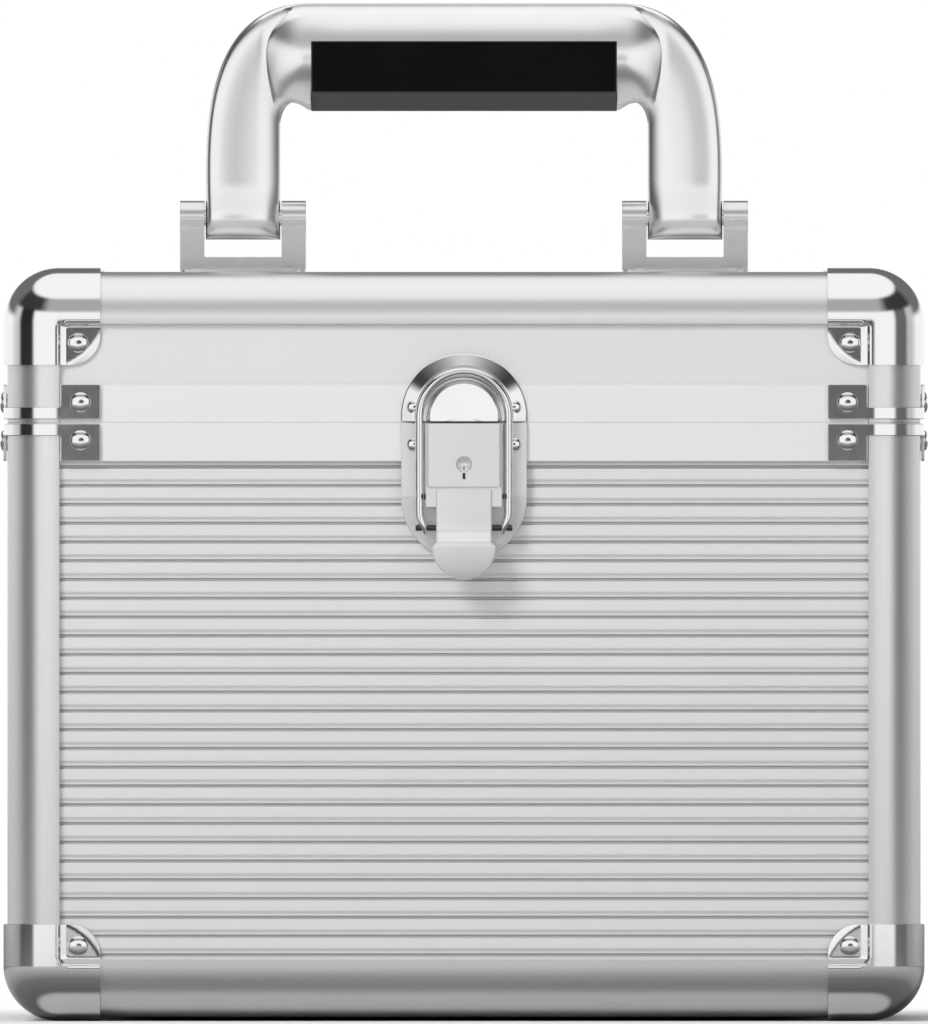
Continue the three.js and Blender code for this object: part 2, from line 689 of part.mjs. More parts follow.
// Front outline of the handle: upright legs, wide swept shoulders and small inner corners
function handleOutline() {
  const { halfSpan, leg, end, cornerX, cornerZ, cornerPower, cornerSteps } = handle;
  const { innerCorner, innerSteps } = handle;
  const bottom = pivotHeight - end;
  const inner = halfSpan - leg;
  const power = 2 / cornerPower;
  const shoulder = Array.from({ length: cornerSteps + 1 }, (_, i) => {
    const angle = (i / cornerSteps) * (Math.PI / 2);
    return [
      halfSpan - cornerX + cornerX * Math.cos(angle) ** power,
      barTop - cornerZ + cornerZ * Math.sin(angle) ** power,
    ];
  });
  const bend = [inner - innerCorner, barUnder - innerCorner];
  const inside = arc(bend, innerCorner, 0.25, 0, innerSteps);
  const right = [...inside, [inner, bottom], [halfSpan, bottom], ...shoulder];
  const left = right.map(([x, z]) => [-x, z]).reverse();
  return [...right, ...left];
}

// The thicker bar that carries the grip, with its upper corners rounded off
function barOutline() {
  const { halfLength, crownDrop, corner, steps } = bar;
  const top = barTop - crownDrop;
  const right = [
    [halfLength, barUnder],
    ...arc([halfLength - corner, top - corner], corner, 0, 0.25, steps),
  ];
  return [...right, ...right.map(([x, z]) => [-x, z]).reverse()];
}

// A front outline with a thickness in y, rounded off along its edges
function pillow(outline, depth, bevel) {
  const shape = new THREE.Shape(outline.map(([x, z]) => new THREE.Vector2(x, z)));
  const geometry = new THREE.ExtrudeGeometry(shape, {
    depth: depth - 2 * bevel, bevelEnabled: true, bevelThickness: bevel, bevelSize: bevel,
    bevelOffset: -bevel, bevelSegments: handle.bevelSteps,
  });
  return solidOf(geometry.translate(0, 0, bevel - depth / 2).rotateX(Math.PI / 2));
}

function handleFrame() {
  const { halfSpan, end, bevel } = handle;
  const frame = pillow(handleOutline(), 2 * end, bevel);
  const middle = pillow(barOutline(), bar.depth, bar.bevel);
  const seat = grip.halfLength + gap;
  const cut = box([-seat, seat], [-bar.depth, bar.depth], [barUnder - overrun, gripTop]);
  const core = box(
    [-seat - overrun, seat + overrun], [-grip.core / 2, grip.core / 2],
    [barUnder + grip.cover, gripTop + overrun],
  );
  const bore = cylinder(
    "x", [-halfSpan - overrun, halfSpan + overrun], pivot.pin + gap, [0, pivotHeight], pivot.sides,
  );
  return frame.add(middle).subtract(cut).add(core).subtract(bore);
}

function handleGrip() {
  const { halfLength, height, cover, core, corner, steps } = grip;
  const half = bar.depth / 2 + grip.proud;
  const low = gripTop - gap - height;
  const top = gripTop - gap;
  const groove = core / 2 + gap;
  const section = [
    ...arc([half - corner, low + corner], corner, 0.75, 1, steps),
    [half, top], [groove, top], [groove, barUnder + cover - gap],
    [-groove, barUnder + cover - gap], [-groove, top], [-half, top],
    ...arc([corner - half, low + corner], corner, 0.5, 0.75, steps),
  ];
  return prism("x", section, [-halfLength, halfLength]);
}

function handleBracket() {
  const { ear, ride, upright, base, foot, saddle, boltIn } = bracket;
  const inner = handle.leg / 2 + gap;
  const outer = inner + ear;
  const seat = frameTop - recess + gap;
  const saddleTop = seat + saddle;
  const ears = [-1, 1].flatMap((dir) => {
    const span = [dir * inner, dir * outer].sort((a, b) => a - b);
    return [
      box(span, [-upright / 2, upright / 2], [seat, pivotHeight]),
      cylinder("x", span, ride, [0, pivotHeight], pivot.sides),
    ];
  });
  const bolts = [-1, 1].flatMap((dx) =>
    [-1, 1].map((dy) =>
      rivetHead([dx * (outer - boltIn), dy * (foot / 2 - boltIn), seat + base], [0, 0, 1]),
    ),
  );
  const through = [-outer - overrun, outer + overrun];
  const bore = cylinder("x", through, pivot.pin + gap, [0, pivotHeight], pivot.sides);
  return joined([
    box([-outer, outer], [-foot / 2, foot / 2], [seat, seat + base]),
    box([-outer, outer], [-upright / 2, upright / 2], [seat, saddleTop]),
    ...ears,
    ...bolts,
  ]).subtract(bore);
}

function addHandle() {
  addMesh("handle_frame", handleFrame(), materials.profile);
  addMesh("handle_grip", handleGrip(), materials.rubber);
  const plate = handleBracket();
  const reach = handle.leg / 2 + gap + bracket.ear - gap;
  const pin = cylinder("x", [-reach, reach], pivot.pin, [0, pivotHeight], pivot.sides);
  for (const [name, side] of [["left", -1], ["right", 1]]) {
    addMesh(`handle_bracket_${name}`, plate, materials.steel).position.x = side * legMiddle;
    addMesh(`handle_pin_${name}`, pin, materials.steel).position.x = side * legMiddle;
  }
}

addEdgeProfiles();
addPanels();
addRims();
addCaps();
addBraces();
addFoam();
addHinge();
addLatch();
addHandle();

// The origin goes under the middle of the whole outline
const outline = new THREE.Box3().setFromObject(model);
model.position.y = -(outline.min.y + outline.max.y) / 2;
const group = new THREE.Group();
group.name = "hard_drive_case";
group.add(model);

export default group;
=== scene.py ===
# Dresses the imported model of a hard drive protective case: profiles, ribbed sheet, pressed
# caps and braces, a draw latch, a folding handle, a rolled hinge and the foam inside.
import json
import math

import bmesh
import bpy
from mathutils import Matrix, Vector


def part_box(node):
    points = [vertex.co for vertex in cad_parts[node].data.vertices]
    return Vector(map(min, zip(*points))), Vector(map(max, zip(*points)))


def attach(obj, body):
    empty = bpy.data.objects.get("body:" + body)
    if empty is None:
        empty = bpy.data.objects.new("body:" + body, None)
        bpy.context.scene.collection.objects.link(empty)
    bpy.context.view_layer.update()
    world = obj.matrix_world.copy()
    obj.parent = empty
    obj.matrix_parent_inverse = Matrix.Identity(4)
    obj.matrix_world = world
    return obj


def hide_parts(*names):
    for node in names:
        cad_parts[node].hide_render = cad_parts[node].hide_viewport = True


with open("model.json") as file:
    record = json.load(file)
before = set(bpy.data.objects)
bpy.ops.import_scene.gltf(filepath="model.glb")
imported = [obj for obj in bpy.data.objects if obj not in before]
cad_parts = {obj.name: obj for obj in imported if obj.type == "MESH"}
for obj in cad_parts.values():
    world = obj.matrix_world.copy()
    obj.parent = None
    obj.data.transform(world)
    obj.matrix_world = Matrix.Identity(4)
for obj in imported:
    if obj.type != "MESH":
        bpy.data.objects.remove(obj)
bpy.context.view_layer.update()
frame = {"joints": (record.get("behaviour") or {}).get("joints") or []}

bl_info = {
    "name": "Hard Drive Protective Case",
    "version": (1, 0, 0),
    "blender": (4, 5, 0),
    "location": "3D View > Sidebar > Drive Case",
    "description": "Builds the visible pieces and finishes of an aluminium case for bare hard drives",
    "category": "Add Mesh",
}

MM = 0.001  # lengths are kept in metres
PAST = 2 * MM  # how far cutters reach past what they cut
SMOOTH_ANGLE = math.radians(32)  # edges sharper than this stay crisp
FIRM_ANGLE = math.radians(40)  # the same for cast and thick pieces
BENT_ANGLE = math.radians(50)  # the same for bent and pressed sheet
ROUND_ANGLE = math.radians(60)  # the same for pieces with round edges
FLAT_ANGLE = math.radians(1)  # the same for a plate whose faces stay flat

X_AXIS = Vector((1, 0, 0))
Y_AXIS = Vector((0, 1, 0))
Z_AXIS = Vector((0, 0, 1))


# Places taken from the frame
def low(node):
    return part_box(node)[0]


def high(node):
    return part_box(node)[1]


PIVOTS = {joint["name"]: Vector(joint["pos_m"]) for joint in frame["joints"]}
LEFT = low("lid_top_edge_left").x
RIGHT = high("lid_top_edge_right").x
FRONT = low("lid_top_edge_front").y
BACK = high("lid_top_edge_back").y
TOP = high("lid_top_edge_front").z
BOTTOM = low("base_bottom_edge_front").z
BASE_TOP = high("base_post_front_left").z
LID_BOTTOM = low("lid_rim").z
RIM_HEIGHT = high("lid_rim").z - LID_BOTTOM
MIDDLE_Y = (FRONT + BACK) / 2
HALF_X = (RIGHT - LEFT) / 2
HALF_Y = (BACK - FRONT) / 2
CAP_REACH = high("lid_cap_front_left").x - LEFT
LATCH_RADIUS = high("catch_plate").x
ARCH_Z = high("catch_plate").z - LATCH_RADIUS
FOOT_Z = low("latch_base_plate").z + LATCH_RADIUS
HOUSING_OUT = FRONT - low("latch_base_plate").y
WIRE_Y = (low("latch_bail").y + high("latch_bail").y) / 2

WALLS = [
    {"name": "front", "turn": 0, "reach": HALF_Y},
    {"name": "right", "turn": 1, "reach": HALF_X},
    {"name": "back", "turn": 2, "reach": HALF_Y},
    {"name": "left", "turn": 3, "reach": HALF_X},
]
CORNERS = [
    {"name": "front_left", "x": 1, "y": 1},
    {"name": "front_right", "x": -1, "y": 1},
    {"name": "back_left", "x": 1, "y": -1},
    {"name": "back_right", "x": -1, "y": -1},
]  # x and y point into the case
SIDES = {"left": -1, "right": 1}


def number(name, default, description, **more):
    return bpy.props.FloatProperty(name=name, description=description, default=default, **more)


def length(name, millimetres, description):
    return number(name, millimetres * MM, description, unit="LENGTH", precision=5)


def colour(name, default, description):
    return bpy.props.FloatVectorProperty(
        name=name, description=description, default=default, subtype="COLOR", min=0, max=1
    )


def share(name, default, description):
    return number(name, default, description, subtype="FACTOR", min=0, max=1)


def power(name, watts, description):
    return number(name, watts, description, unit="POWER")


def count(name, default, description):
    return bpy.props.IntProperty(name=name, description=description, default=default, min=3)


class ShellSettings(bpy.types.PropertyGroup):
    """Sizes and finishes of the profiles, rims and panels"""

    round: length("Rounding", 13, "Outer radius of the edge profiles")
    flat: length("Flat", 0.3, "Flat that a profile's leg adds to its rounding")
    wall: length("Wall", 1.2, "Wall of the extruded profiles")
    flange_at: length("Flange", 5.8, "Depth of the inner angle behind the face")
    lip_round: length("Lip rounding", 0.15, "Rounding of the profiles' free edges")
    sill: length("Sill", 1.5, "How much further the bottom profiles reach up the walls")
    inset: length("End inset", 13.6, "Where a profile ends, from the case's corner")
    recess: length("Recess", 1.5, "Depth of the panels behind the profiles' face")
    panel: length("Panel thickness", 4, "Thickness of the panels")
    panel_edge: length("Panel edge", 0.3, "Rounding of the panels' edges")
    rim_inner: length("Rim depth", 8.5, "Depth of the rims behind the face")
    tongue_in: length("Tongue inset", 3.2, "Depth of the sealing tongue behind the face")
    tongue: length("Tongue", 1.8, "Thickness of the sealing tongue")
    tongue_rise: length("Tongue rise", 1.7, "Height of the sealing tongue")
    groove: length("Groove", 1.6, "Depth of the lid's groove for the tongue")
    seam: length("Seam", 0.05, "Gap left between lid and base")
    rim_edge: length("Rim edge", 0.08, "Rounding of the rims' edges")
    rim_drop: length("Base rim", 0.65, "How much taller the base's rim is than the lid's")
    play: length("Play", 0.3, "Room between pieces that touch")
    notch_play: length("Notch play", 0.1, "Room that a rim leaves round a corner profile")
    arc_steps: count("Arc steps", 28, "Steps round a quarter of a profile")
    profile_colour: colour("Profile colour", (0.86, 0.86, 0.862), "Satin aluminium")
    panel_colour: colour("Panel colour", (0.84, 0.84, 0.842), "Sheet faced with aluminium")
    rim_colour: colour("Rim colour", (0.9, 0.9, 0.902), "Brushed aluminium of the rims")
    profile_rough: share("Profile roughness", 0.31, "Satin finish of the profiles")
    profile_metal: share("Profile metal", 0.92, "How metallic the anodised profiles look")
    panel_rough: share("Panel roughness", 0.46, "Satin finish of the panels")
    panel_metal: share("Panel metal", 0.45, "How metallic the lacquered panels look")


class RibSettings(bpy.types.PropertyGroup):
    """Ribs rolled into the sheet of the base"""

    pitch: length("Pitch", 4.743, "Distance between two grooves")
    groove: length("Groove", 0.9, "Width of a groove")
    depth: length("Depth", 0.85, "Depth of a groove")
    # painted shade: how much darker the colour is painted at the bottom of a groove
    shade: share("Groove shade", 0.66, "How much darker the bottom of a groove is")
    shelf: length("Shelf", 0.3, "How far the strip above a groove lies behind the rest")
    first_drop: length("First drop", 5.5, "Lower edge of the top groove below the sheet's top")


class CapSettings(bpy.types.PropertyGroup):
    """Pressed corner caps, corner braces and their rivets"""

    sheet: length("Sheet", 0.7, "Thickness of the pressed sheet")
    proud: length("Proud", 1, "How far a cap stands proud of the profiles")
    step_from: length("Step start", 12.85, "Where the step down to an ear starts")
    step_width: length("Step width", 2.1, "Width of the step down to an ear")
    step_drop: length("Step drop", 1.5, "How far an ear lies below the rest of the cap")
    step_quick: number("Step steepness", 2.6, "How much steeper the step is below a lid cap's top edge")
    step_corner: length("Step corner", 2.4, "Rounding of the step's inner corner")
    ear_round: length("Ear rounding", 7.6, "Radius of an ear's free corner")
    crescent_centre: length("Crescent centre", 8.1, "Centre of the arc that bounds the crescent")
    crescent_round: length("Crescent radius", 16.9, "Radius of the arc that bounds the crescent")
    crescent_fall: share("Crescent fall", 0.1, "Slope of the crescent down to the panel")
    edge: length("Edge", 0.16, "Rounding of the sheet's cut edges")
    rivet_at: length("Rivet place", 18, "Distance of an ear's rivet from the case's corner")
    rivet: length("Rivet radius", 2.6, "Radius of a rivet's head")
    rivet_rise: length("Rivet height", 0.95, "Height of a rivet's head")
    band: length("Band", 3, "Height of a brace's band round the corner profile")
    brace_corner: length("Brace corner", 0.5, "Rounding of a brace's corners")
    brace_gap: length("Brace gap", 0.35, "Gap between a brace and the lid's or base's edge")
    chrome_colour: colour("Chrome colour", (0.9, 0.9, 0.905), "Bright plated steel")
    chrome_rough: share("Chrome roughness", 0.11, "Polish of the plated sheet")


class LatchSettings(bpy.types.PropertyGroup):
    """Front latch: catch plate, base plate with its lock housing, lever, bail and key barrel"""

    plate: length("Plate", 0.8, "Thickness of the two plates")
    lift: length("Lift", 0.3, "Gap between the plates and the face behind them")
    bevel_in: length("Bevel", 3.4, "Width of the catch plate's bevelled rim")
    bevel_rise: length("Bevel rise", 1.91, "Height of the catch plate's bevelled rim")
    boss: length("Boss radius", 8.75, "Radius of the boss that the bail hooks over")
    boss_rise: length("Boss height", 3.5, "Height of the boss")
    boss_fall: share("Boss slope", 0.13, "Backward slope of the boss's face")
    fold_drop: length("Fold", 18.6, "Fold of the base plate below its top edge")
    fold_slope: share("Fold slope", 0.1, "Slope of the base plate below its fold")
    rivet: length("Rivet radius", 1.9, "Radius of the latch's rivets")
    rivet_rise: length("Rivet height", 1, "Height of the latch's rivets")
    rivet_x: length("Rivet place", 12.6, "Distance of the latch's rivets from its middle")
    catch_rivet: length("Catch rivet", 3.3, "Height of the catch's rivets above the lid's edge")
    base_rivet: length("Base rivet", 5.6, "Drop of the base plate's rivets below its edge")
    housing_half: length("Housing half width", 9.75, "Half the width of the lock housing")
    housing_wall: length("Housing wall", 1.2, "Wall of the lock housing")
    housing_sink: length("Housing sink", 0.2, "How far the lock housing sinks into the base plate")
    housing_bend: length("Housing bend", 1.5, "Rounding of the lock housing's long edges")
    housing_length: length("Housing length", 16.3, "Height of the lock housing's face")
    cheek: length("Cheek", 5.1, "How far the housing's cheeks reach below its face")
    lever_half: length("Lever half width", 7.05, "Half the width of the lever's strap")
    lever_plate: length("Lever sheet", 1.2, "Thickness of the lever's sheet")
    cheek_plate: length("Lever cheek", 1.4, "Thickness of the lever's cheeks")
    lever_head: length("Lever head", 1.6, "How far the lever reaches above its pivot")
    lever_length: length("Lever length", 9.5, "Pivot to the lever's bend")
    lever_kick: length("Lever kick", 2.5, "How far the finger tongue stands out")
    lever_run: length("Kick run", 2.4, "Height of the lever's bend")
    tongue_tuck: share("Tongue tuck", 0.06, "Slope of the finger tongue back towards the case")
    tongue_half: length("Tongue half width", 8.1, "Half the width of the finger tongue")
    tongue_length: length("Tongue length", 9.2, "Length of the finger tongue")
    wire: length("Wire radius", 1.1, "Radius of the bail's wire")
    stud: length("Stud radius", 0.75, "Radius of the lever's pivot studs")
    stud_depth: length("Stud depth", 1.6, "How far a stud reaches into the lever's strap")
    barrel: length("Barrel radius", 1.95, "Radius of the key barrel")
    barrel_play: length("Barrel play", 0.04, "Room round the key barrel")
    barrel_length: length("Barrel length", 4.5, "Length of the key barrel")
    barrel_sink: length("Barrel sink", 0.05, "How far the key barrel lies behind the housing's face")
    barrel_rim: length("Barrel rim", 0.1, "Chamfer round the key barrel's face")
    dish: length("Dish", 0.75, "Depth of the key barrel's dished face")
    slot_depth: length("Slot depth", 2.2, "Depth of the slot in the key barrel")
    key_slot: length("Key slot", 0.7, "Width of the key slot")
    pad_inset: length("Pad inset", 1.2, "How far the plates' backing stays behind their outline")
    pad: length("Pad", 1.5, "Thickness of the plates' backing")
    kick_early: length("Kick start", 1, "How far above its bend the strap starts to lean")
    tip_half: length("Tip half width", 0.5, "Half the width of the finger tongue's last edge")
    stud_out: length("Stud end", 0.4, "How far a stud stands out of the housing's cheek")
    rivet_lift: length("Rivet lift", 0.15, "How much further out the catch's rivets sit")
    bail_lead: length("Bail lead", 1, "How far below its bow the bail's straight leg ends")
    edge: length("Edge", 0.22, "Rounding of the latch's edges")
    colour: colour("Latch colour", (0.88, 0.88, 0.883), "Plated steel of the latch")
    # The pins are real; their near-black colour is painted shade, standing in for the dark gaps round them,
    # not a blackened finish
    pin_painted_shade: colour("Pin colour", (0.1, 0.1, 0.1), "Blackened steel of the latch's pins")
    rough: share("Latch roughness", 0.42, "Satin finish of the latch")
    metal: share("Latch metal", 0.7, "How metallic the latch's plates look")


class HandleSettings(bpy.types.PropertyGroup):
    """Folding handle, its grip and its two brackets"""

    leg: length("Leg width", 19, "Width of a leg")
    leg_half: length("Leg depth", 5.6, "Half the depth of a leg, and its rounding at the pivot")
    top: length("Top", 54.5, "Top of the handle above its pivot")
    under: length("Underside", 27.4, "Underside of the bar above the pivot")
    corner_x: length("Shoulder width", 27.7, "Width of the swept shoulder")
    corner_z: length("Shoulder height", 43, "Height of the swept shoulder")
    inner_corner: length("Inner corner", 4, "Radius of the inner corner")
    bar_half: length("Bar half length", 52.2, "Half the length of the thicker bar")
    bar_depth: length("Bar depth", 7.4, "Half the depth of the bar")
    bar_drop: length("Bar drop", 0.9, "How far the bar stays below the handle's top")
    bar_end: length("Bar end", 12, "Length of the bar's rounded ends")
    bar_step: length("Bar step", 0.8, "Distance between points along the bar's outline")
    bar_wall: length("Bar wall", 1.6, "Half the depth of the bar along its top")
    bar_end_wall: length("Bar end wall", 3.2, "Half the depth of the bar's ends")
    bar_round: length("Bar rounding", 1.2, "Depth of the rounding along the bar's rim")
    bar_from: length("Bar blend start", 30, "Where the bar starts to deepen towards its ends")
    bar_blend: length("Bar blend", 20, "Length over which the bar deepens")
    neck: share("Neck", 0.55, "How thin the frame is behind the bar")
    neck_from: length("Neck start", 44, "Where the frame starts to deepen towards the legs")
    neck_blend: length("Neck blend", 8, "Length over which the frame deepens")
    behind_drop: length("Thin top", 6, "How far below its top the frame starts to thin behind the bar")
    behind_blend: length("Thin top blend", 3, "Height over which the frame thins behind the bar")
    leg_lean: share("Leg lean", 0.3, "How much thinner the legs are at their inner edge")
    leg_ridge: share("Leg ridge", 0.3, "Where the legs start to slope down to their inner edge")
    leg_square: number("Leg squareness", 5, "Two is a round section and more is squarer")
    leg_flare: length("Leg flare", 8, "Height over which a leg flares towards its pivot")
    leg_waist: length("Leg waist", 1.2, "How much thinner a leg is above its flare")
    grip_half: length("Grip half length", 38.9, "Half the length of the rubber grip")
    grip_cover: length("Grip cover", 2.2, "Thickness of the rubber under the bar")
    grip_proud: length("Grip proud", 0.2, "How far the rubber stands proud of the bar")
    grip_corner: length("Grip corner", 4.6, "Slope cut off the grip's lower edges")
    grip_play: length("Grip play", 0.15, "Room between the rubber and the bar inside it")
    seat_depth: length("Seat depth", 5, "Half the depth of the bar inside the grip")
    steel_edge: length("Edge", 0.3, "Rounding of the grip's and the brackets' edges")
    ear: length("Ear", 6.2, "Thickness of a bracket's ear")
    ear_gap: length("Ear gap", 0.3, "Gap between a leg and a bracket's ears")
    ear_lift: length("Ear lift", 0.5, "How far above its seat an ear starts, inside the foot plate")
    ride: length("Ear rounding", 4.3, "Radius of an ear round the pivot")
    upright: length("Upright", 5.5, "Depth of an ear below the pivot")
    foot: length("Foot", 26, "Depth of a bracket's foot plate")
    foot_plate: length("Foot plate", 2, "Thickness of a bracket's foot plate")
    foot_corner: length("Foot corner", 2.2, "Rounding of a foot plate's corners")
    saddle: length("Saddle", 5.3, "Height of the saddle between the ears")
    saddle_lift: length("Saddle lift", 0.4, "How far above its seat the saddle starts, inside the foot plate")
    bolt_in: length("Bolt inset", 4.4, "Inset of a bracket's screws")
    bolt: length("Bolt radius", 2.6, "Radius of a bracket's screw heads")
    bolt_rise: length("Bolt height", 0.4, "Height of a bracket's screw heads")
    pin: length("Pin radius", 2, "Radius of a pivot pin")
    metal_colour: colour("Metal colour", (0.94, 0.94, 0.944), "Satin cast handle")
    metal_rough: share("Metal roughness", 0.27, "Satin finish of the cast handle")
    steel_colour: colour("Bracket colour", (0.82, 0.82, 0.823), "Plated steel of the brackets")
    steel_rough: share("Bracket roughness", 0.24, "Satin finish of the brackets")
    rubber_colour: colour("Rubber colour", (0.0015, 0.0015, 0.0016), "Black rubber of the grip")
    rubber_rough: share("Rubber roughness", 0.5, "Finish of the rubber")
    coat_rough: share("Coat roughness", 0.08, "Polish of the rubber's skin")
    coat_index: number("Coat index", 2, "How strongly the rubber's skin reflects")


class HingeSettings(bpy.types.PropertyGroup):
    """Rolled hinge across the back"""

    knuckles: count("Knuckles", 9, "How many knuckles the two leaves share")
    radius: length("Knuckle radius", 2.4, "Outer radius of a knuckle")
    leaf: length("Leaf", 1, "Thickness of the leaves")
    pin: length("Pin radius", 1.1, "Radius of the hinge pin")
    drop: length("Leaf height", 8.7, "Reach of a leaf from the pin")
    clear: length("Clearance", 0.3, "Room between a leaf's plate and the other's knuckles")
    corner: length("Leaf corner", 1.2, "Rounding of a leaf's free corners")
    edge: length("Edge", 0.15, "Rounding of the leaves' edges")
    knuckle_gap: length("Knuckle gap", 0.15, "Half the gap between two knuckles")
    bore_play: length("Bore play", 0.12, "Room round the hinge pin")
    screws: count("Screws", 5, "Screws in each leaf")
    screw: length("Screw radius", 1.7, "Radius of a screw's head")
    screw_rise: length("Screw height", 0.45, "Height of a screw's head")


class FoamSettings(bpy.types.PropertyGroup):
    """Slotted tray and lid lining"""

    drives: count("Drives", 5, "How many slots the tray has")
    slot_x: length("Slot width", 27.5, "Width of a slot, for a drive on its edge")
    slot_y: length("Slot length", 103, "Length of a slot")
    slot_floor: length("Floor", 14, "Foam under a slot")
    slot_corner: length("Slot corner", 2.2, "Rounding of a slot's corners")
    soft_edge: length("Soft edge", 0.9, "Rounding of the foam's edges")
    lining: length("Lining", 3, "Thickness of the lining's walls")
    pad: length("Pad", 11.9, "Thickness of the pad over the drives")
    colour: colour("Foam colour", (0.022, 0.022, 0.024), "Charcoal foam")


class StageSettings(bpy.types.PropertyGroup):
    """Floor, light and camera"""

    floor_colour: colour("Floor colour", (0.86, 0.86, 0.86), "Pale floor under the case")
    floor_reach: length("Floor reach", 6000, "Radius of the floor")
    # The mirrored floor is where glossy rays alone see the floor's painted reflection: a darker colour near
    # the case that fades into a glow painted with the walls' grey levels
    floor_ahead: length("Floor ahead", 420, "How far ahead of the case the mirrored floor is centred")
    floor_near: length("Near floor", 500, "Distance at which the mirrored floor starts to fade to white")
    floor_far: length("Far floor", 850, "Distance at which the mirrored floor is white")
    view_near: length("Shown floor", 80, "Distance at which the shown floor starts to fade to white")
    view_far: length("White floor", 270, "Distance at which the shown floor is white")
    # painted reflection: grey levels that glossy rays alone see on the floor, from right above and from a
    # steep glance
    painted_reflection_below: share("Floor below", 0.58, "How the floor right below looks in polished metal")
    painted_reflection_ahead: share("Mirrored floor", 0.14, "How the floor ahead looks in polished metal")
    view_height: length("View height", 258.76, "Height of the view at the case's front")
    view_middle: length("View middle", 128.75, "Height of the view's middle above the ground")
    lens: number("Lens", 1500, "Sees the case almost flat", subtype="DISTANCE_CAMERA", max=5000)
    dark_turn: number("Dark turn", math.radians(3), "How far right the dark part lies", subtype="ANGLE")
    ambient: share("Ambient", 0.585, "How much of the studio's light falls on matt surfaces")
    key: power("Key light", 40, "Power of the key light")
    fill: power("Fill light", 3, "Power of the fill light")


SETTINGS = {
    "case_shell": ShellSettings,
    "case_ribs": RibSettings,
    "case_caps": CapSettings,
    "case_latch": LatchSettings,
    "case_handle": HandleSettings,
    "case_hinge": HingeSettings,
    "case_foam": FoamSettings,
    "case_stage": StageSettings,
}


# Numbers and outlines, as lists of pairs
def eased(run):
    """From nothing to one, softly"""
    run = min(1, max(0, run))
    return run * run * (3 - 2 * run)


def arc(centre, radius, start, end, steps):
    """Points round a centre, between two angles in degrees"""
    turns = [math.radians(start + (end - start) * i / steps) for i in range(steps + 1)]
    return [(centre[0] + radius * math.cos(t), centre[1] + radius * math.sin(t)) for t in turns]


def beside(corner, offsets):
    """Points beside a corner, from their offsets in millimetres"""
    return [(corner[0] + a * MM, corner[1] + b * MM) for a, b in offsets]


def rectangle(left, near, right, far):
    return [(left, near), (right, near), (right, far), (left, far)]


def filleted(points, radius, steps=4):
    """A closed outline with every corner rounded, or those that have a radius of their own"""
    rounded = []
    for i, point in enumerate(points):
        size = radius[i] if isinstance(radius, list) else radius
        here = Vector(point[:2])
        back = Vector(points[i - 1][:2]) - here
        ahead = Vector(points[(i + 1) % len(points)][:2]) - here
        if size <= 0:
            rounded.append(tuple(here))
            continue
        half = back.angle(ahead) / 2
        reach = min(size / math.tan(half), back.length / 2, ahead.length / 2)
        size = reach * math.tan(half)
        middle = here + (back.normalized() + ahead.normalized()).normalized() * (size / math.sin(half))
        first = here + back.normalized() * reach - middle
        last = here + ahead.normalized() * reach - middle
        sweep = first.angle_signed(last)
        for k in range(steps + 1):
            turn = Matrix.Rotation(-sweep * k / steps, 2)
            rounded.append(tuple(middle + turn @ first))
    return rounded


# Meshes
def add_object(name, mesh):
    item = bpy.data.objects.new(name, mesh)
    bpy.context.scene.collection.objects.link(item)
    return item


def shade(mesh, angle=SMOOTH_ANGLE):
    """Smooth shading, with the edges past an angle left crisp"""
    mesh.polygons.foreach_set("use_smooth", [True] * len(mesh.polygons))
    mesh.set_sharp_from_angle(angle=angle)
    return mesh


def finished(work, mesh, angle=SMOOTH_ANGLE):
    """Puts a worked mesh into its own, with outward normals and crisp edges past an angle"""
    bmesh.ops.recalc_face_normals(work, faces=work.faces)
    work.to_mesh(mesh)
    work.free()
    return shade(mesh, angle)


def build(name, points, faces, angle=SMOOTH_ANGLE):
    """An object from points and faces"""
    mesh = bpy.data.meshes.new(name)
    mesh.from_pydata([tuple(p) for p in points], [], faces)
    work = bmesh.new()
    work.from_mesh(mesh)
    return add_object(name, finished(work, mesh, angle))


def loft(name, rings, closed=False, angle=SMOOTH_ANGLE):
    """Skin over rings of as many points each, capped at both ends or closed on itself"""
    size = len(rings[0])
    points = [point for ring in rings for point in ring]
    spans = len(rings) if closed else len(rings) - 1
    faces = []
    for i in range(spans):
        here = i * size
        there = ((i + 1) % len(rings)) * size
        for j in range(size):
            k = (j + 1) % size
            faces.append((here + j, here + k, there + k, there + j))
    if not closed:
        faces.append(tuple(reversed(range(size))))
        faces.append(tuple(range(len(points) - size, len(points))))
    return build(name, points, faces, angle)


LIFTS = {
    "x": lambda a, b, t: (t, a, b),
    "y": lambda a, b, t: (a, t, b),
    "z": lambda a, b, t: (a, b, t),
}


def prism(name, axis, outline, start, end):
    lift = LIFTS[axis]
    return loft(name, [[lift(a, b, t) for a, b in outline] for t in (start, end)])


def block(name, corner, opposite):
    return prism(name, "z", rectangle(*corner[:2], *opposite[:2]), corner[2], opposite[2])


def lathe(name, section, sides, place, direction):
    """A turned solid: radii and heights, with its foot at a place and its axis along a direction"""
    turn = Z_AXIS.rotation_difference(Vector(direction)).to_matrix()
    rings = []
    for radius, height in section:
        circle = arc((0, 0), radius, 0, 360, sides)[:-1]
        rings.append([Vector(place) + turn @ Vector((a, b, height)) for a, b in circle])
    return loft(name, rings)


def settled(item):
    """Applies an object's modifiers"""
    graph = bpy.context.evaluated_depsgraph_get()
    mesh = bpy.data.meshes.new_from_object(item.evaluated_get(graph))
    item.modifiers.clear()
    item.data = mesh
    return item


def merged(name, items):
    """One object out of several, with their places kept"""
    work = bmesh.new()
    for item in items:
        part = item.data.copy()
        part.transform(item.matrix_basis)
        work.from_mesh(part)
        bpy.data.meshes.remove(part)
        bpy.data.objects.remove(item)
    mesh = bpy.data.meshes.new(name)
    work.to_mesh(mesh)
    work.free()
    return add_object(name, shade(mesh))


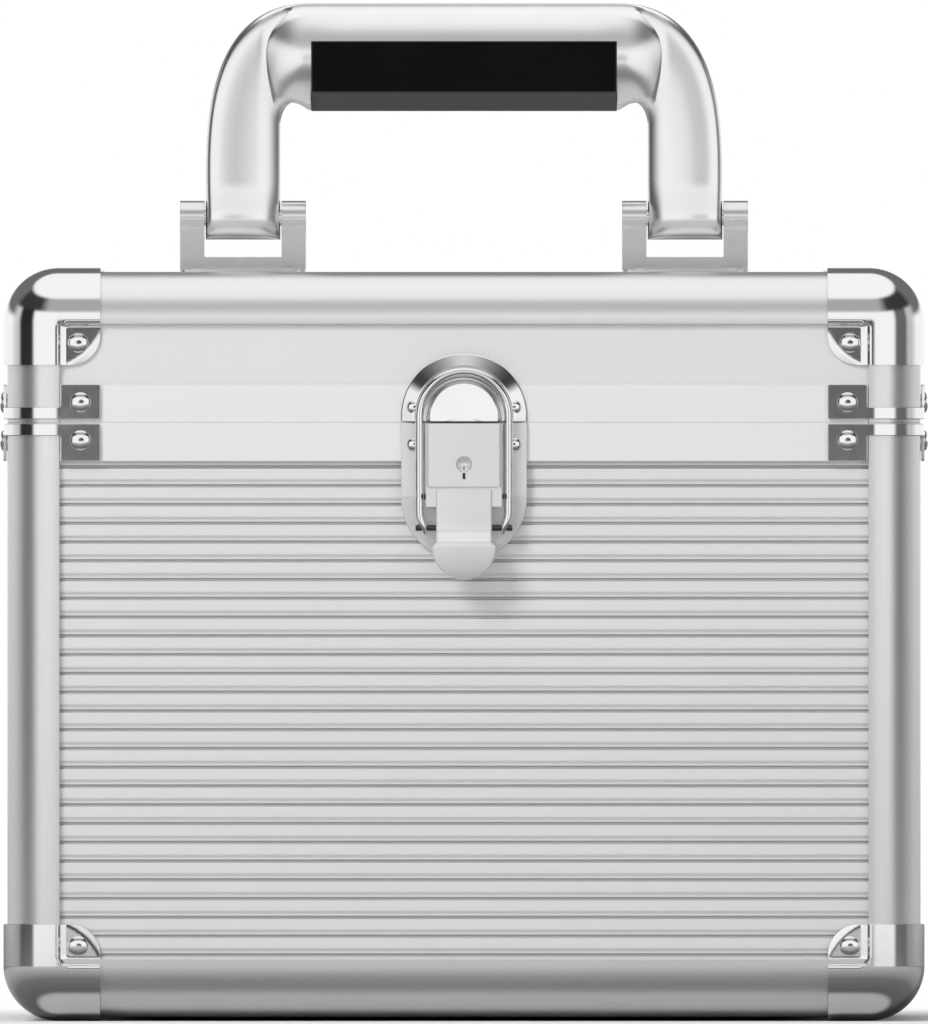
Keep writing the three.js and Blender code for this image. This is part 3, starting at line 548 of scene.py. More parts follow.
def combine(target, items, operation="DIFFERENCE"):
    """Cuts items out of a target, or joins them to it"""
    for item in items:
        cut = target.modifiers.new(operation, "BOOLEAN")
        cut.operation = operation
        cut.solver = "EXACT"
        cut.object = item
    settled(target)
    for item in items:
        bpy.data.objects.remove(item)
    shade(target.data)
    return target


def bevelled(item, width, segments, limit):
    bevel = item.modifiers.new("soft_edges", "BEVEL")
    bevel.width = width
    bevel.segments = segments
    bevel.limit_method = limit
    bevel.harden_normals = True
    return bevel


def soften(item, width, segments=3, angle=SMOOTH_ANGLE):
    """Rounds an object's crisp edges"""
    bevelled(item, width, segments, "ANGLE").angle_limit = angle
    return item


CUT_END_SHARE = 0.15  # rounding of an extrusion's cut ends, as a share of its other edges'
SAME_PLACE = 1e-6  # lengths in metres below this count as nothing


def soften_lips(item, width):
    """Rounds the crisp edges that run along an extrusion, and its cut ends much less"""
    mesh = item.data
    work = bmesh.new()
    work.from_mesh(mesh)
    weights = []
    for edge in work.edges:
        crisp = len(edge.link_faces) == 2 and edge.calc_face_angle() > FIRM_ANGLE
        along = abs((edge.verts[0].co - edge.verts[1].co).x) > SAME_PLACE
        weights.append((1.0 if along else CUT_END_SHARE) if crisp else 0.0)
    work.free()
    layer = mesh.attributes.new("bevel_weight_edge", "FLOAT", "EDGE")
    layer.data.foreach_set("value", weights)
    bevelled(item, width, 3, "WEIGHT")
    return item


def dress(item, material, body, slot, *nodes):
    """Gives a piece its finish and its body, and says which nodes it stands for"""
    item.data.materials.clear()
    item.data.materials.append(material)
    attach(item, body)
    if nodes:
        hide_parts(*nodes)
    return item


DOME_POWER = 0.8  # below one, a rivet's head is steeper at its rim


def domed(radius, rise, steps=12):
    """Section of a rivet's head: steep at its rim and flatter towards its crown"""
    section = [(radius, -rise / 2)]
    for i in range(steps):
        turn = math.pi / 2 * i / steps
        section.append((radius * math.cos(turn) ** DOME_POWER, rise * math.sin(turn)))
    return section


SOCKET_SHARE = 0.5  # width of a screw's socket, of its head's
SOCKET_RIM_SHARES = (1.3, 0.97)  # where the head ends before its socket, of the socket's width and the rise
SOCKET_FLOOR_SHARES = (0.97, 0.3)  # the socket's floor, of its width and of the head's rise


def screw_head(name, radius, rise, place, direction, sides=36):
    """A button head with a hexagonal socket"""
    socket = radius * SOCKET_SHARE
    turn = Z_AXIS.rotation_difference(Vector(direction)).to_matrix()
    sixth = math.pi / 3

    def ring(size, height, hexagon=False):
        points = []
        for i in range(sides):
            angle = 2 * math.pi * i / sides
            reach = size / math.cos((angle + sixth / 2) % sixth - sixth / 2) if hexagon else size
            spot = Vector((reach * math.cos(angle), reach * math.sin(angle), height))
            points.append(Vector(place) + turn @ spot)
        return points

    crown_end, rim_height = SOCKET_RIM_SHARES
    floor_width, floor_height = SOCKET_FLOOR_SHARES
    rings = [ring(r, h) for r, h in domed(radius, rise) if r > socket * crown_end]
    rings.append(ring(socket, rise * rim_height, True))
    rings.append(ring(socket * floor_width, rise * floor_height, True))
    return loft(name, rings)


# Shader nodes
def join(tree, value, socket):
    """Links an output to a socket, or sets the socket to a plain value"""
    if isinstance(value, bpy.types.NodeSocket):
        tree.links.new(value, socket)
    else:
        socket.default_value = value


def calculate(tree, operation, *values):
    node = tree.nodes.new("ShaderNodeMath")
    node.operation = operation
    for socket, value in zip(node.inputs, values):
        join(tree, value, socket)
    return node.outputs["Value"]


def blended(tree, factor, first, second, blend="MIX"):
    """One colour over another"""
    mix = tree.nodes.new("ShaderNodeMix")
    mix.data_type = "RGBA"
    mix.blend_type = blend
    for name, value in (("Factor", factor), ("A", first), ("B", second)):
        join(tree, value, mix.inputs[name])
    return mix.outputs["Result"]


def ramp(tree, source, stops):
    """Grey levels at places from 0 to 1"""
    node = tree.nodes.new("ShaderNodeValToRGB")
    elements = node.color_ramp.elements
    while len(elements) < len(stops):
        elements.new(1)
    for element, (place, level) in zip(elements, stops):
        element.position = place
        element.color = (level, level, level, 1)
    tree.links.new(source, node.inputs["Fac"])
    return node.outputs["Color"]


def fitted(tree, source, start, end, low_value=0.0, high_value=1.0, interpolation="LINEAR"):
    """Maps a value's range to two other values"""
    node = tree.nodes.new("ShaderNodeMapRange")
    node.interpolation_type = interpolation
    ends = {"From Min": start, "From Max": end, "To Min": low_value, "To Max": high_value}
    for name, value in ends.items():
        node.inputs[name].default_value = value
    tree.links.new(source, node.inputs["Value"])
    return node.outputs["Result"]


def parted(tree, vector):
    """A vector's three parts"""
    split = tree.nodes.new("ShaderNodeSeparateXYZ")
    tree.links.new(vector, split.inputs["Vector"])
    return split.outputs["X"], split.outputs["Y"], split.outputs["Z"]


def own_place(tree):
    """Places on a piece, in metres from its own origin"""
    return tree.nodes.new("ShaderNodeTexCoord").outputs["Object"]


def cloud(tree, scale, detail=3.0, stretch=(1, 1, 1)):
    """Soft noise, with cells per metre times its stretch along each axis"""
    mapping = tree.nodes.new("ShaderNodeMapping")
    mapping.inputs["Scale"].default_value = stretch
    tree.links.new(own_place(tree), mapping.inputs["Vector"])
    noise = tree.nodes.new("ShaderNodeTexNoise")
    noise.inputs["Scale"].default_value = scale
    noise.inputs["Detail"].default_value = detail
    tree.links.new(mapping.outputs["Vector"], noise.inputs["Vector"])
    return noise.outputs["Fac"]


NOISE_START, NOISE_END = 0.3, 0.7  # where most of a noise's values lie


def spread(tree, source, low_value, high_value):
    """Maps a noise's middle range to two values"""
    return fitted(tree, source, NOISE_START, NOISE_END, low_value, high_value)


def tint(tree, surface, source, base, change):
    """Lets a colour vary between itself and one some times as bright"""
    changed = (*[c * change for c in base], 1)
    varied = blended(tree, spread(tree, source, 0, 1), (*base, 1), changed)
    tree.links.new(varied, surface.inputs["Base Color"])


def bump(tree, surface, source, strength, depth):
    node = tree.nodes.new("ShaderNodeBump")
    node.inputs["Strength"].default_value = strength
    node.inputs["Distance"].default_value = depth
    tree.links.new(source, node.inputs["Height"])
    tree.links.new(node.outputs["Normal"], surface.inputs["Normal"])


# Finishes
PROFILE_GRAIN = (14, 900, 900)  # noise cells per metre along and across the drawing lines
SHEET_GRAIN = (20, 700, 700)
DRAWN_ROUGH = (0.93, 1.08)  # how roughness varies, as shares of itself
PLATED_ROUGH = (0.96, 1.05)
RUBBER_ROUGH = (0.8, 1.25)
METAL_CLOUD, PLATING_CLOUD = (38, 2), (55, 2)  # noise cells per metre, and their detail
PLATING_MARKS, PLATING_RIPPLE = (420, 5), (60, 0)
RUBBER_GRAIN, RUBBER_CLOUD = (2600, 4), (70, 3)
FOAM_CLOUD, FOAM_PITS = (160, 5), 1100
FOAM_ROUGH, FOAM_GLOSS, FLOOR_ROUGH = 0.95, 0.2, 0.9
DRAWN_RELIEF, RUBBER_RELIEF = (0.02, 0.01 * MM), (0.02, 0.02 * MM)  # strength and depth of the relief
FOAM_RELIEF, RIPPLE_DEPTH = (0.6, 0.25 * MM), 0.12 * MM
METAL_FADE = 0.985  # how bright the faint clouds on metal are, of its colour
RUBBER_FADE = 1.7
FOAM_FADE = 1.8
CAP_RIPPLE = 0.04  # strength of the ripple in pressed and plated sheet
FITTING_RIPPLE = 0.02  # the same in the small fittings
PAINTED_SHADE_START = (0.35, 0.94)  # depth in a groove at which the painted shade starts to darken it, and how far
PAINTED_SHADE_FULL = 0.6  # depth in a groove below which the painted shade is darkest


def shader(name, rough, metallic=0.0):
    material = bpy.data.materials.new(name)
    material.use_nodes = True
    tree = material.node_tree
    surface = tree.nodes["Principled BSDF"]
    surface.inputs["Metallic"].default_value = metallic
    surface.inputs["Roughness"].default_value = rough
    return material, tree, surface


def vary_roughness(tree, surface, source, rough, shares):
    varied = spread(tree, source, *[rough * size for size in shares])
    tree.links.new(varied, surface.inputs["Roughness"])


def drawn_metal(name, base, rough, grain, metallic):
    """Satin metal with fine drawing lines along its own x"""
    material, tree, surface = shader(name, rough, metallic)
    lines = cloud(tree, 1, 4, grain)
    vary_roughness(tree, surface, lines, rough, DRAWN_ROUGH)
    tint(tree, surface, cloud(tree, *METAL_CLOUD), base, METAL_FADE)
    bump(tree, surface, lines, *DRAWN_RELIEF)
    return material


def ribbed_metal(name, base, rough, metallic, ribs):
    """Drawn sheet whose colour is darkened with painted shade towards the bottom of its grooves"""
    material = drawn_metal(name, base, rough, SHEET_GRAIN, metallic)
    tree = material.node_tree
    plain = tree.nodes["Principled BSDF"].inputs["Base Color"]
    # painted shade: the colour is multiplied darker by depth into each groove
    sunk = fitted(tree, parted(tree, own_place(tree))[1], 0, ribs.depth)
    stops = [(0, 1), PAINTED_SHADE_START, (PAINTED_SHADE_FULL, ribs.shade), (1, ribs.shade)]
    painted_groove_shade = blended(tree, 1, plain.links[0].from_socket, ramp(tree, sunk, stops), "MULTIPLY")
    tree.links.new(painted_groove_shade, plain)
    return material


def plated_metal(name, base, rough, ripple, metallic=1.0):
    """Polished plating that ripples a little, with faint handling marks"""
    material, tree, surface = shader(name, rough, metallic)
    tint(tree, surface, cloud(tree, *PLATING_CLOUD), base, METAL_FADE)
    if ripple:
        vary_roughness(tree, surface, cloud(tree, *PLATING_MARKS), rough, PLATED_ROUGH)
        bump(tree, surface, cloud(tree, *PLATING_RIPPLE), ripple, RIPPLE_DEPTH)
    return material


def grained_rubber(name, base, rough, coat_rough, coat_index):
    """Black rubber with fine grain under a smooth skin"""
    material, tree, surface = shader(name, rough)
    grain = cloud(tree, *RUBBER_GRAIN)
    vary_roughness(tree, surface, grain, rough, RUBBER_ROUGH)
    surface.inputs["Specular IOR Level"].default_value = 0
    surface.inputs["Coat Weight"].default_value = 1
    surface.inputs["Coat Roughness"].default_value = coat_rough
    surface.inputs["Coat IOR"].default_value = coat_index
    tint(tree, surface, cloud(tree, *RUBBER_CLOUD), base, RUBBER_FADE)
    bump(tree, surface, grain, *RUBBER_RELIEF)
    return material


def cut_foam(name, base):
    """Closed-cell foam: small pits and a dusty colour"""
    material, tree, surface = shader(name, FOAM_ROUGH)
    pits = tree.nodes.new("ShaderNodeTexVoronoi")
    pits.inputs["Scale"].default_value = FOAM_PITS
    tree.links.new(own_place(tree), pits.inputs["Vector"])
    bump(tree, surface, pits.outputs["Distance"], *FOAM_RELIEF)
    tint(tree, surface, cloud(tree, *FOAM_CLOUD), base, FOAM_FADE)
    surface.inputs["Specular IOR Level"].default_value = FOAM_GLOSS
    return material


FINISHES = {}


def make_finish(key):
    """A new material for a finish"""
    scene = bpy.context.scene
    shell, caps, latch = scene.case_shell, scene.case_caps, scene.case_latch
    handle, foam = scene.case_handle, scene.case_foam
    panel_look = shell.panel_rough, SHEET_GRAIN, shell.panel_metal
    chrome = caps.chrome_colour, caps.chrome_rough
    makers = {
        "profile": lambda: drawn_metal(
            "satin_profile", shell.profile_colour, shell.profile_rough, PROFILE_GRAIN, shell.profile_metal
        ),
        "rim": lambda: drawn_metal("brushed_rim", shell.rim_colour, *panel_look),
        "sheet": lambda: drawn_metal("brushed_sheet", shell.panel_colour, *panel_look),
        "ribs": lambda: ribbed_metal(
            "ribbed_sheet", shell.panel_colour, shell.panel_rough, shell.panel_metal, scene.case_ribs
        ),
        "chrome": lambda: plated_metal("bright_chrome", *chrome, CAP_RIPPLE),
        "latch": lambda: plated_metal("soft_chrome", latch.colour, latch.rough, FITTING_RIPPLE, latch.metal),
        "wire": lambda: plated_metal("bail_chrome", *chrome, FITTING_RIPPLE),
        "handle": lambda: plated_metal("cast_handle", handle.metal_colour, handle.metal_rough, 0),
        "steel": lambda: plated_metal(
            "fitting_steel", handle.steel_colour, handle.steel_rough, FITTING_RIPPLE
        ),
        # the pins' and studs' near-black colour is painted shade for the dark gaps round them
        "dark": lambda: plated_metal("painted_shade_steel", latch.pin_painted_shade, handle.steel_rough, FITTING_RIPPLE),
        "rubber": lambda: grained_rubber(
            "grip_rubber", handle.rubber_colour, handle.rubber_rough, handle.coat_rough, handle.coat_index
        ),
        "foam": lambda: cut_foam("cut_foam", foam.colour),
    }
    return makers[key]()


def finish(key):
    """The material of a finish, made the first time that it is asked for"""
    if key not in FINISHES:
        FINISHES[key] = make_finish(key)
    return FINISHES[key]


# Profiles, rims and panels
def profile_outline(s, upright):
    """Section of an edge profile: depth behind one face, then behind the other"""
    leg = s.round + s.flat
    centre = (s.round, s.round)
    inner_round = s.round - s.wall
    web_turn = math.degrees(math.asin(s.wall / 2 / inner_round))
    web_foot = s.flange_at + s.wall * math.sqrt(0.5)
    inner = s.flange_at + s.wall
    half_steps = s.arc_steps // 2
    return [
        (leg, 0),
        *arc(centre, s.round, 270, 180, s.arc_steps),
        (0, upright),
        (s.wall, upright),
        *arc(centre, inner_round, 180, 225 - web_turn, half_steps),
        (s.flange_at, web_foot),
        (s.flange_at, leg),
        (inner, leg),
        (inner, inner),
        (leg, inner),
        (leg, s.flange_at),
        (web_foot, s.flange_at),
        *arc(centre, inner_round, 225 + web_turn, 270, half_steps),
        (leg, s.wall),
    ]


def add_profile(s, node, first_in, second_in, body, sill=0.0, drop=0.0):
    """A profile along the outer edge of its node, from the two ways that lead into the case"""
    lo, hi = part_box(node)
    first_in, second_in = Vector(first_in), Vector(second_in)
    along = first_in.cross(second_in)
    inward = first_in + second_in
    lo.z -= drop
    half = abs((hi - lo).dot(along)) / 2
    corner = [hi[k] if inward[k] < 0 else lo[k] if inward[k] > 0 else (lo[k] + hi[k]) / 2 for k in range(3)]
    outline = profile_outline(s, s.round + s.flat + sill)
    item = prism(node.replace("edge", "profile").replace("post", "upright"), "x", outline, -half, half)
    place = Matrix((along, first_in, second_in)).transposed().to_4x4()
    place.translation = Vector(corner)
    item.matrix_world = place
    return dress(soften_lips(item, s.lip_round), finish("profile"), body, "profile", node)


def on_wall(item, wall, depth=0.0):
    """Turns a piece built at the front to its own wall, and moves it that far in"""
    turn = Matrix.Rotation(wall["turn"] * math.pi / 2, 4, "Z")
    item.matrix_world = Matrix.Translation((0, MIDDLE_Y, 0)) @ turn @ Matrix.Translation((0, depth, 0))
    return item


def panel_span(node, wall):
    lo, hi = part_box(node)
    across = (hi - lo).x if wall["turn"] % 2 == 0 else (hi - lo).y
    return across / 2, lo.z, hi.z


# Shares of a groove's width and depth, up a groove from its lower edge
GROOVE_SHARES = [
    (0, 0), (0.07, 0.25), (0.16, 0.7), (0.3, 0.95), (0.5, 1), (0.7, 0.97), (0.84, 0.8), (0.93, 0.55),
]
# Shares of the pitch and of the shelf's depth, up the slope from the shelf to the strip above
SLOPE_SHARES = [
    (0.19, 1), (0.25, 1), (0.3, 0.97), (0.34, 0.8), (0.38, 0.5), (0.42, 0.2), (0.46, 0.03), (0.5, 0),
]
STRIP_SHARE = 0.93  # share of the pitch at which a strip has its last point


def ribbed_outline(s, ribs, bottom, top):
    """Section of the ribbed sheet behind its face: grooves, each with a shelf and a slope above"""
    points = [(0, bottom)]
    rows = int((top - bottom - ribs.first_drop) / ribs.pitch)
    for i in range(rows, -1, -1):
        z = top - ribs.first_drop - i * ribs.pitch
        if z <= bottom:
            continue
        points += [(ribs.depth * b, z + ribs.groove * a) for a, b in GROOVE_SHARES]
        points += [(ribs.shelf * b, z + ribs.pitch * a) for a, b in SLOPE_SHARES]
        points.append((0, z + ribs.pitch * STRIP_SHARE))
    return [*points, (0, top), (s.panel, top), (s.panel, bottom)]


def add_ribbed_panel(s, ribs, wall):
    node = f"base_panel_{wall['name']}"
    half, bottom, top = panel_span(node, wall)
    outline = ribbed_outline(s, ribs, bottom, top)
    item = prism(f"ribbed_sheet_{wall['name']}", "x", outline, -half, half)
    on_wall(item, wall, s.recess - wall["reach"])
    return dress(item, finish("ribs"), "base", "ribbed_sheet", node)


def add_plain_panel(s, wall):
    node = f"lid_panel_{wall['name']}"
    half, bottom, top = panel_span(node, wall)
    face = s.recess - wall["reach"]
    item = block(f"smooth_sheet_{wall['name']}", (-half, face, bottom), (half, face + s.panel, top))
    soften(on_wall(item, wall), s.panel_edge)
    return dress(item, finish("sheet"), "lid", "smooth_sheet", node)


def add_flat_panel(s, node, name, body):
    lo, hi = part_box(node)
    item = soften(block(name, lo, hi), s.panel_edge)
    return dress(item, finish("sheet"), body, "smooth_sheet", node)


def at_corner(corner, first, second):
    """A place at a corner of the case, from its depths behind the two faces"""
    return corner["x"] * (first - HALF_X), MIDDLE_Y + corner["y"] * (second - HALF_Y)


def around_case(name, outline):
    """A frame all round the case, from its section: depth behind the face, then height"""
    rings = []
    for corner in (CORNERS[0], CORNERS[1], CORNERS[3], CORNERS[2]):
        rings.append([(*at_corner(corner, depth, depth), z) for depth, z in outline])
    return loft(name, rings, closed=True)


def corner_notches(s, bottom, top):
    """What the corner profiles take out of a rim"""
    inner = s.rim_inner - s.wall
    end = s.round + s.flat + s.notch_play
    notch = [(-PAST, -PAST), (end, -PAST), (end, inner), (inner, inner), (inner, end), (-PAST, end)]
    pieces = []
    for corner in CORNERS:
        outline = [at_corner(corner, a, b) for a, b in notch]
        pieces.append(prism("notch", "z", outline, bottom - PAST, top + PAST))
    return pieces


def base_rim_outline(s):
    channel = s.rim_inner - s.wall
    foot = BASE_TOP - RIM_HEIGHT - s.rim_drop
    tongue_out = s.tongue_in + s.tongue
    return [
        (0, foot), (0, BASE_TOP), (s.tongue_in, BASE_TOP), (s.tongue_in, BASE_TOP + s.tongue_rise),
        (tongue_out, BASE_TOP + s.tongue_rise), (tongue_out, BASE_TOP), (s.rim_inner, BASE_TOP),
        (s.rim_inner, foot), (channel, foot), (channel, BASE_TOP - s.wall),
        (s.wall, BASE_TOP - s.wall), (s.wall, foot),
    ]


def lid_rim_outline(s):
    channel = s.rim_inner - s.wall
    head = LID_BOTTOM + RIM_HEIGHT
    foot = BASE_TOP + s.seam
    web = LID_BOTTOM + s.groove + s.wall
    near = s.tongue_in - s.play
    far = s.tongue_in + s.tongue + s.play
    return [
        (0, head), (0, foot), (near, foot), (near, LID_BOTTOM + s.groove),
        (far, LID_BOTTOM + s.groove), (far, foot), (s.rim_inner, foot),
        (s.rim_inner, head), (channel, head), (channel, web), (s.wall, web), (s.wall, head),
    ]


def add_rims(s):
    base = around_case("base_rim_extrusion", base_rim_outline(s))
    rear = block(
        "rear", (LEFT - PAST, BACK - s.inset, BASE_TOP), (RIGHT + PAST, BACK + PAST, BASE_TOP + 2 * PAST)
    )
    cutters = corner_notches(s, BASE_TOP - RIM_HEIGHT - s.rim_drop, BASE_TOP + s.tongue_rise)
    soften(combine(base, [*cutters, rear]), s.rim_edge)
    dress(base, finish("rim"), "base", "profile", "base_rim")
    lid = around_case("lid_rim_extrusion", lid_rim_outline(s))
    soften(combine(lid, corner_notches(s, LID_BOTTOM, LID_BOTTOM + RIM_HEIGHT)), s.rim_edge)
    dress(lid, finish("rim"), "lid", "profile", "lid_rim")


# Caps and braces
# Shares of a cap step's width and of its drop: steep, then a slope
STEP_SHARES = [
    (0, 0), (0.04, 0.02), (0.08, 0.06), (0.12, 0.14), (0.24, 0.5), (0.28, 0.57), (0.33, 0.61),
    (0.6, 0.78), (0.86, 0.94), (0.92, 0.98), (1, 1),
]
BALL_LINES = 12  # mesh lines across a cap's rounding
FLAT_LINES = 2  # mesh lines across each flat stretch of a cap
EAR_LINES = 14  # mesh lines across an ear's rounded end
INNER_SHIFT_SHARE = 0.6  # how much further out the inner skin's step lies, of the sheet's thickness
BRACE_CUTS = 28  # mesh lines across a brace's bend
WELD = 1e-7  # corners of a cap closer than this, in metres, are one


def cap_ball(c):
    """Radius of a cap's rounding, and its centre behind the faces"""
    ball = bpy.context.scene.case_shell.round + c.proud
    return ball, ball - c.proud


def cap_lines(c):
    """Places of the mesh lines across one face of a cap, from the case's corner outwards"""
    ball, centre = cap_ball(c)
    turns = [math.radians(45 - 45 * i / BALL_LINES) for i in range(BALL_LINES)]
    lines = [centre - ball * math.tan(turn) for turn in turns]
    for run, _ in STEP_SHARES:
        lines += [c.step_from + c.step_width * run / quick for quick in (1, c.step_quick)]
    stops = [
        (centre, c.step_from, FLAT_LINES), (c.step_from + c.step_width, CAP_REACH - c.ear_round, FLAT_LINES),
        (CAP_REACH - c.ear_round, CAP_REACH, EAR_LINES),
    ]
    for start, end, steps in stops:
        lines += [start + (end - start) * i / steps for i in range(1, steps + 1)]
    return sorted({round(place, 7) for place in [*lines, centre]})


def step_share(run):
    """How far down a cap's step is at a share of its width"""
    run = min(1, max(0, run))
    for (start, upper), (end, lower) in zip(STEP_SHARES, STEP_SHARES[1:]):
        if run <= end:
            return upper + (lower - upper) * (run - start) / (end - start)
    return 1


def cap_sink(c, a, b, quick, crescent):
    """How far a cap's face sinks at a place on it: the step to the ear and the crescent"""
    past_a = max(0, c.step_corner - (a - c.step_from) * quick[0])
    past_b = max(0, c.step_corner - (b - c.step_from) * quick[1])
    inside = c.step_corner - math.hypot(past_a, past_b)
    sink = c.step_drop * step_share(inside / c.step_width)
    if crescent and min(a, b) > c.crescent_centre:
        outside = math.hypot(a - c.crescent_centre, b - c.crescent_centre) - c.crescent_round
        sink += max(0, outside) * c.crescent_fall
    return sink


def cap_point(c, order, a, b, depth, steep):
    """A point on a cap's skin, on the outside or at a depth inside the sheet"""
    ball, centre = cap_ball(c)
    bend = CAP_REACH - c.ear_round
    da, db = max(0, a - bend), max(0, b - bend)
    if da > 0 and db > 0:
        scale = max(da, db) / math.hypot(da, db)
        a, b = bend + da * scale, bend + db * scale
    core = Vector((max(a, centre), max(b, centre), centre))
    normal = (Vector((a, b, -c.proud)) - core).normalized()
    point = core + normal * (ball - depth)
    shift = depth * INNER_SHIFT_SHARE
    quick = [c.step_quick if steep and axis == 2 else 1 for axis in order[:2]]
    point.z += cap_sink(c, a + shift, b + shift, quick, depth == 0)
    return [point[order.index(k)] for k in range(3)]


def cap_mesh(c, steep):
    """A ball corner cap for the corner at the origin, with the case towards +x, +y and +z"""
    lines = cap_lines(c)
    size = len(lines)
    points, faces = [], []
    for depth in (0, c.sheet):
        for order in ((0, 1, 2), (1, 2, 0), (2, 0, 1)):
            start = len(points)
            points += [cap_point(c, order, a, b, depth, steep) for a in lines for b in lines]
            for i in range(size - 1):
                for j in range(size - 1):
                    k = start + i * size + j
                    face = (k, k + 1, k + size + 1, k + size)
                    faces.append(face if depth == 0 else tuple(reversed(face)))
    work = bmesh.new()
    corners = [work.verts.new(p) for p in points]
    for face in faces:
        work.faces.new([corners[k] for k in face])
    bmesh.ops.remove_doubles(work, verts=work.verts, dist=WELD)
    rims = [edge for edge in work.edges if edge.is_boundary]
    bmesh.ops.bridge_loops(work, edges=rims)
    return finished(work, bpy.data.meshes.new("pressed_cap"), BENT_ANGLE)


def corner_place(corner, z, inward_z):
    """Matrix for a piece that is alike across its x and y, at a corner of the case"""
    first = Vector((corner["x"], 0, 0))
    second = Vector((0, corner["y"], 0))
    third = Vector((0, 0, inward_z))
    if first.cross(second).dot(third) < 0:
        first, second = second, first
    place = Matrix((first, second, third)).transposed().to_4x4()
    place.translation = Vector((*at_corner(corner, 0, 0), z))
    return place


def rivets(name, section, spots, sides=40):
    """Several like heads as one object"""
    heads = [lathe("head", section, sides, place, direction) for place, direction in spots]
    return merged(name, heads)


def add_at_corners(c, kind, title, meshes, levels, spots):
    """A pressed piece and its rivets at every corner of lid and base, made for the one at the origin"""
    heads = rivets(f"{kind}_rivets", domed(c.rivet, c.rivet_rise), spots)
    for corner in CORNERS:
        for body, (z, inward) in levels.items():
            place = corner_place(corner, z, inward)
            piece = add_object(f"{body}_{title}_{corner['name']}", meshes[body].copy())
            piece.matrix_world = place
            soften(piece, c.edge, 2, ROUND_ANGLE)
            dress(piece, finish("chrome"), body, "cap_chrome", f"{body}_{kind}_{corner['name']}")
            studs = add_object(f"{body}_{kind}_rivets_{corner['name']}", heads.data.copy())
            studs.matrix_world = place
            dress(studs, finish("chrome"), body, "cap_chrome")
    bpy.data.objects.remove(heads)


def add_caps(c):
    meshes = {"lid": cap_mesh(c, True), "base": cap_mesh(c, False)}
    at, face = c.rivet_at, c.step_drop - c.proud
    spots = [((at, at, face), -Z_AXIS), ((at, face, at), -Y_AXIS), ((face, at, at), -X_AXIS)]
    levels = {"lid": (TOP, -1), "base": (BOTTOM, 1)}
    add_at_corners(c, "cap", "pressed_cap", meshes, levels, spots)


def brace_mesh(c, height):
    """A brace cut flat, bent round the corner at the origin and given its thickness"""
    ball, centre = cap_ball(c)
    bend = ball * math.pi / 4
    end = bend + CAP_REACH - centre
    plate = bend + bpy.context.scene.case_shell.inset - centre
    foot = c.brace_gap
    pattern = [
        (-end, foot), (end, foot), (end, height), (plate, height), (plate, foot + c.band),
        (-plate, foot + c.band), (-plate, height), (-end, height),
    ]
    work = bmesh.new()
    work.faces.new([work.verts.new((s, 0, z)) for s, z in filleted(pattern, c.brace_corner)])
    for i in range(BRACE_CUTS + 1):
        bmesh.ops.bisect_plane(
            work, geom=[*work.verts, *work.edges, *work.faces],
            plane_co=(-bend + 2 * bend * i / BRACE_CUTS, 0, 0), plane_no=(1, 0, 0),
        )
    for vert in work.verts:
        s, z = vert.co.x, vert.co.z
        bent = max(-bend, min(bend, s))
        turn = math.pi * 5 / 4 + bent / ball
        past = s - bent
        x = centre + ball * math.cos(turn) + max(0, past)
        y = centre + ball * math.sin(turn) + max(0, -past)
        vert.co = (x, y, z)
    mesh = finished(work, bpy.data.meshes.new("brace"))
    item = add_object("brace", mesh)
    thick = item.modifiers.new("thickness", "SOLIDIFY")
    thick.thickness = c.sheet
    outward = mesh.polygons[0].normal.dot(Vector((-1, -1, 0)))
    thick.offset = -1 if outward > 0 else 1
    solid = settled(item).data
    bpy.data.objects.remove(item)
    work = bmesh.new()
    work.from_mesh(solid)
    return finished(work, solid)


def add_braces(c):
    shell = bpy.context.scene.case_shell
    meshes = {"lid": brace_mesh(c, RIM_HEIGHT), "base": brace_mesh(c, RIM_HEIGHT + shell.rim_drop)}
    middle = (shell.inset + CAP_REACH) / 2
    spots = [
        ((middle, -c.proud, RIM_HEIGHT / 2), -Y_AXIS), ((-c.proud, middle, RIM_HEIGHT / 2), -X_AXIS),
    ]
    levels = {"lid": (LID_BOTTOM, 1), "base": (BASE_TOP, -1)}
    add_at_corners(c, "brace", "corner_brace", meshes, levels, spots)


# Latch
INNER_BEND_SHARE = 0.7  # how much tighter the housing's inner bend is, of its wall
WINDOW_SHARE = 0.4  # how deep the housing's face is cut away below, of its bend
NOTCH_SHARES = (1.95, 1.15)  # foot and head of the housing's notch below the key barrel, of its radius
KEY_SLOT_SHARES = (0.82, 0.246)  # foot and head of the barrel's own slot, of its radius
STUD_END_SHARE = 0.8  # how wide a stud's chamfered end is
STUD_CHAMFER, BAIL_CHAMFER = 0.25 * MM, 0.15 * MM
CHEEK_FRONT, CHEEK_TOP, CHEEK_BACK = 0.5 * MM, 1.8 * MM, 0.9 * MM  # behind the strap, the pivot and the wire
CHEEK_RISE, CHEEK_DROP = 3.1 * MM, 2.4 * MM  # above and below the bail's pivot
CHEEK_ROUND = 1 * MM
DISH_STEPS = 12  # rings of the key barrel's dished face
STRAP_ROUND_SHARES = (0.42, 0.45)  # a strap's rounding at most, of its thickness and its half width
KICK_LEAN_SHARE = 0.85  # how far the strap leans in its bend, of the bend's slope
STRAP_STEPS, KICK_STEPS, SWELL_STEPS, TIP_STEPS = 6, 14, 4, 24  # rings down the lever's stretches
SWELL_SHIFT = 0.4  # where a ring lies in its share of the swell
BAIL_PIN_SHARE = 0.9  # how far a bail pin reaches past the wire's middle, of the wire's radius
# How the bail bends in to its pivot: millimetres in from a leg, millimetres up, share of the wire's radius
BAIL_END = [
    (1.5, -1.6, 0.35), (1.35, -0.7, 0.65), (1.1, 0, 0.85), (0.75, 0.9, 0.97), (0.35, 1.9, 1), (0.08, 3, 1),
    (0, 4, 1), (0, 9, 1), (0, 15, 1), (0, 21, 1),
]


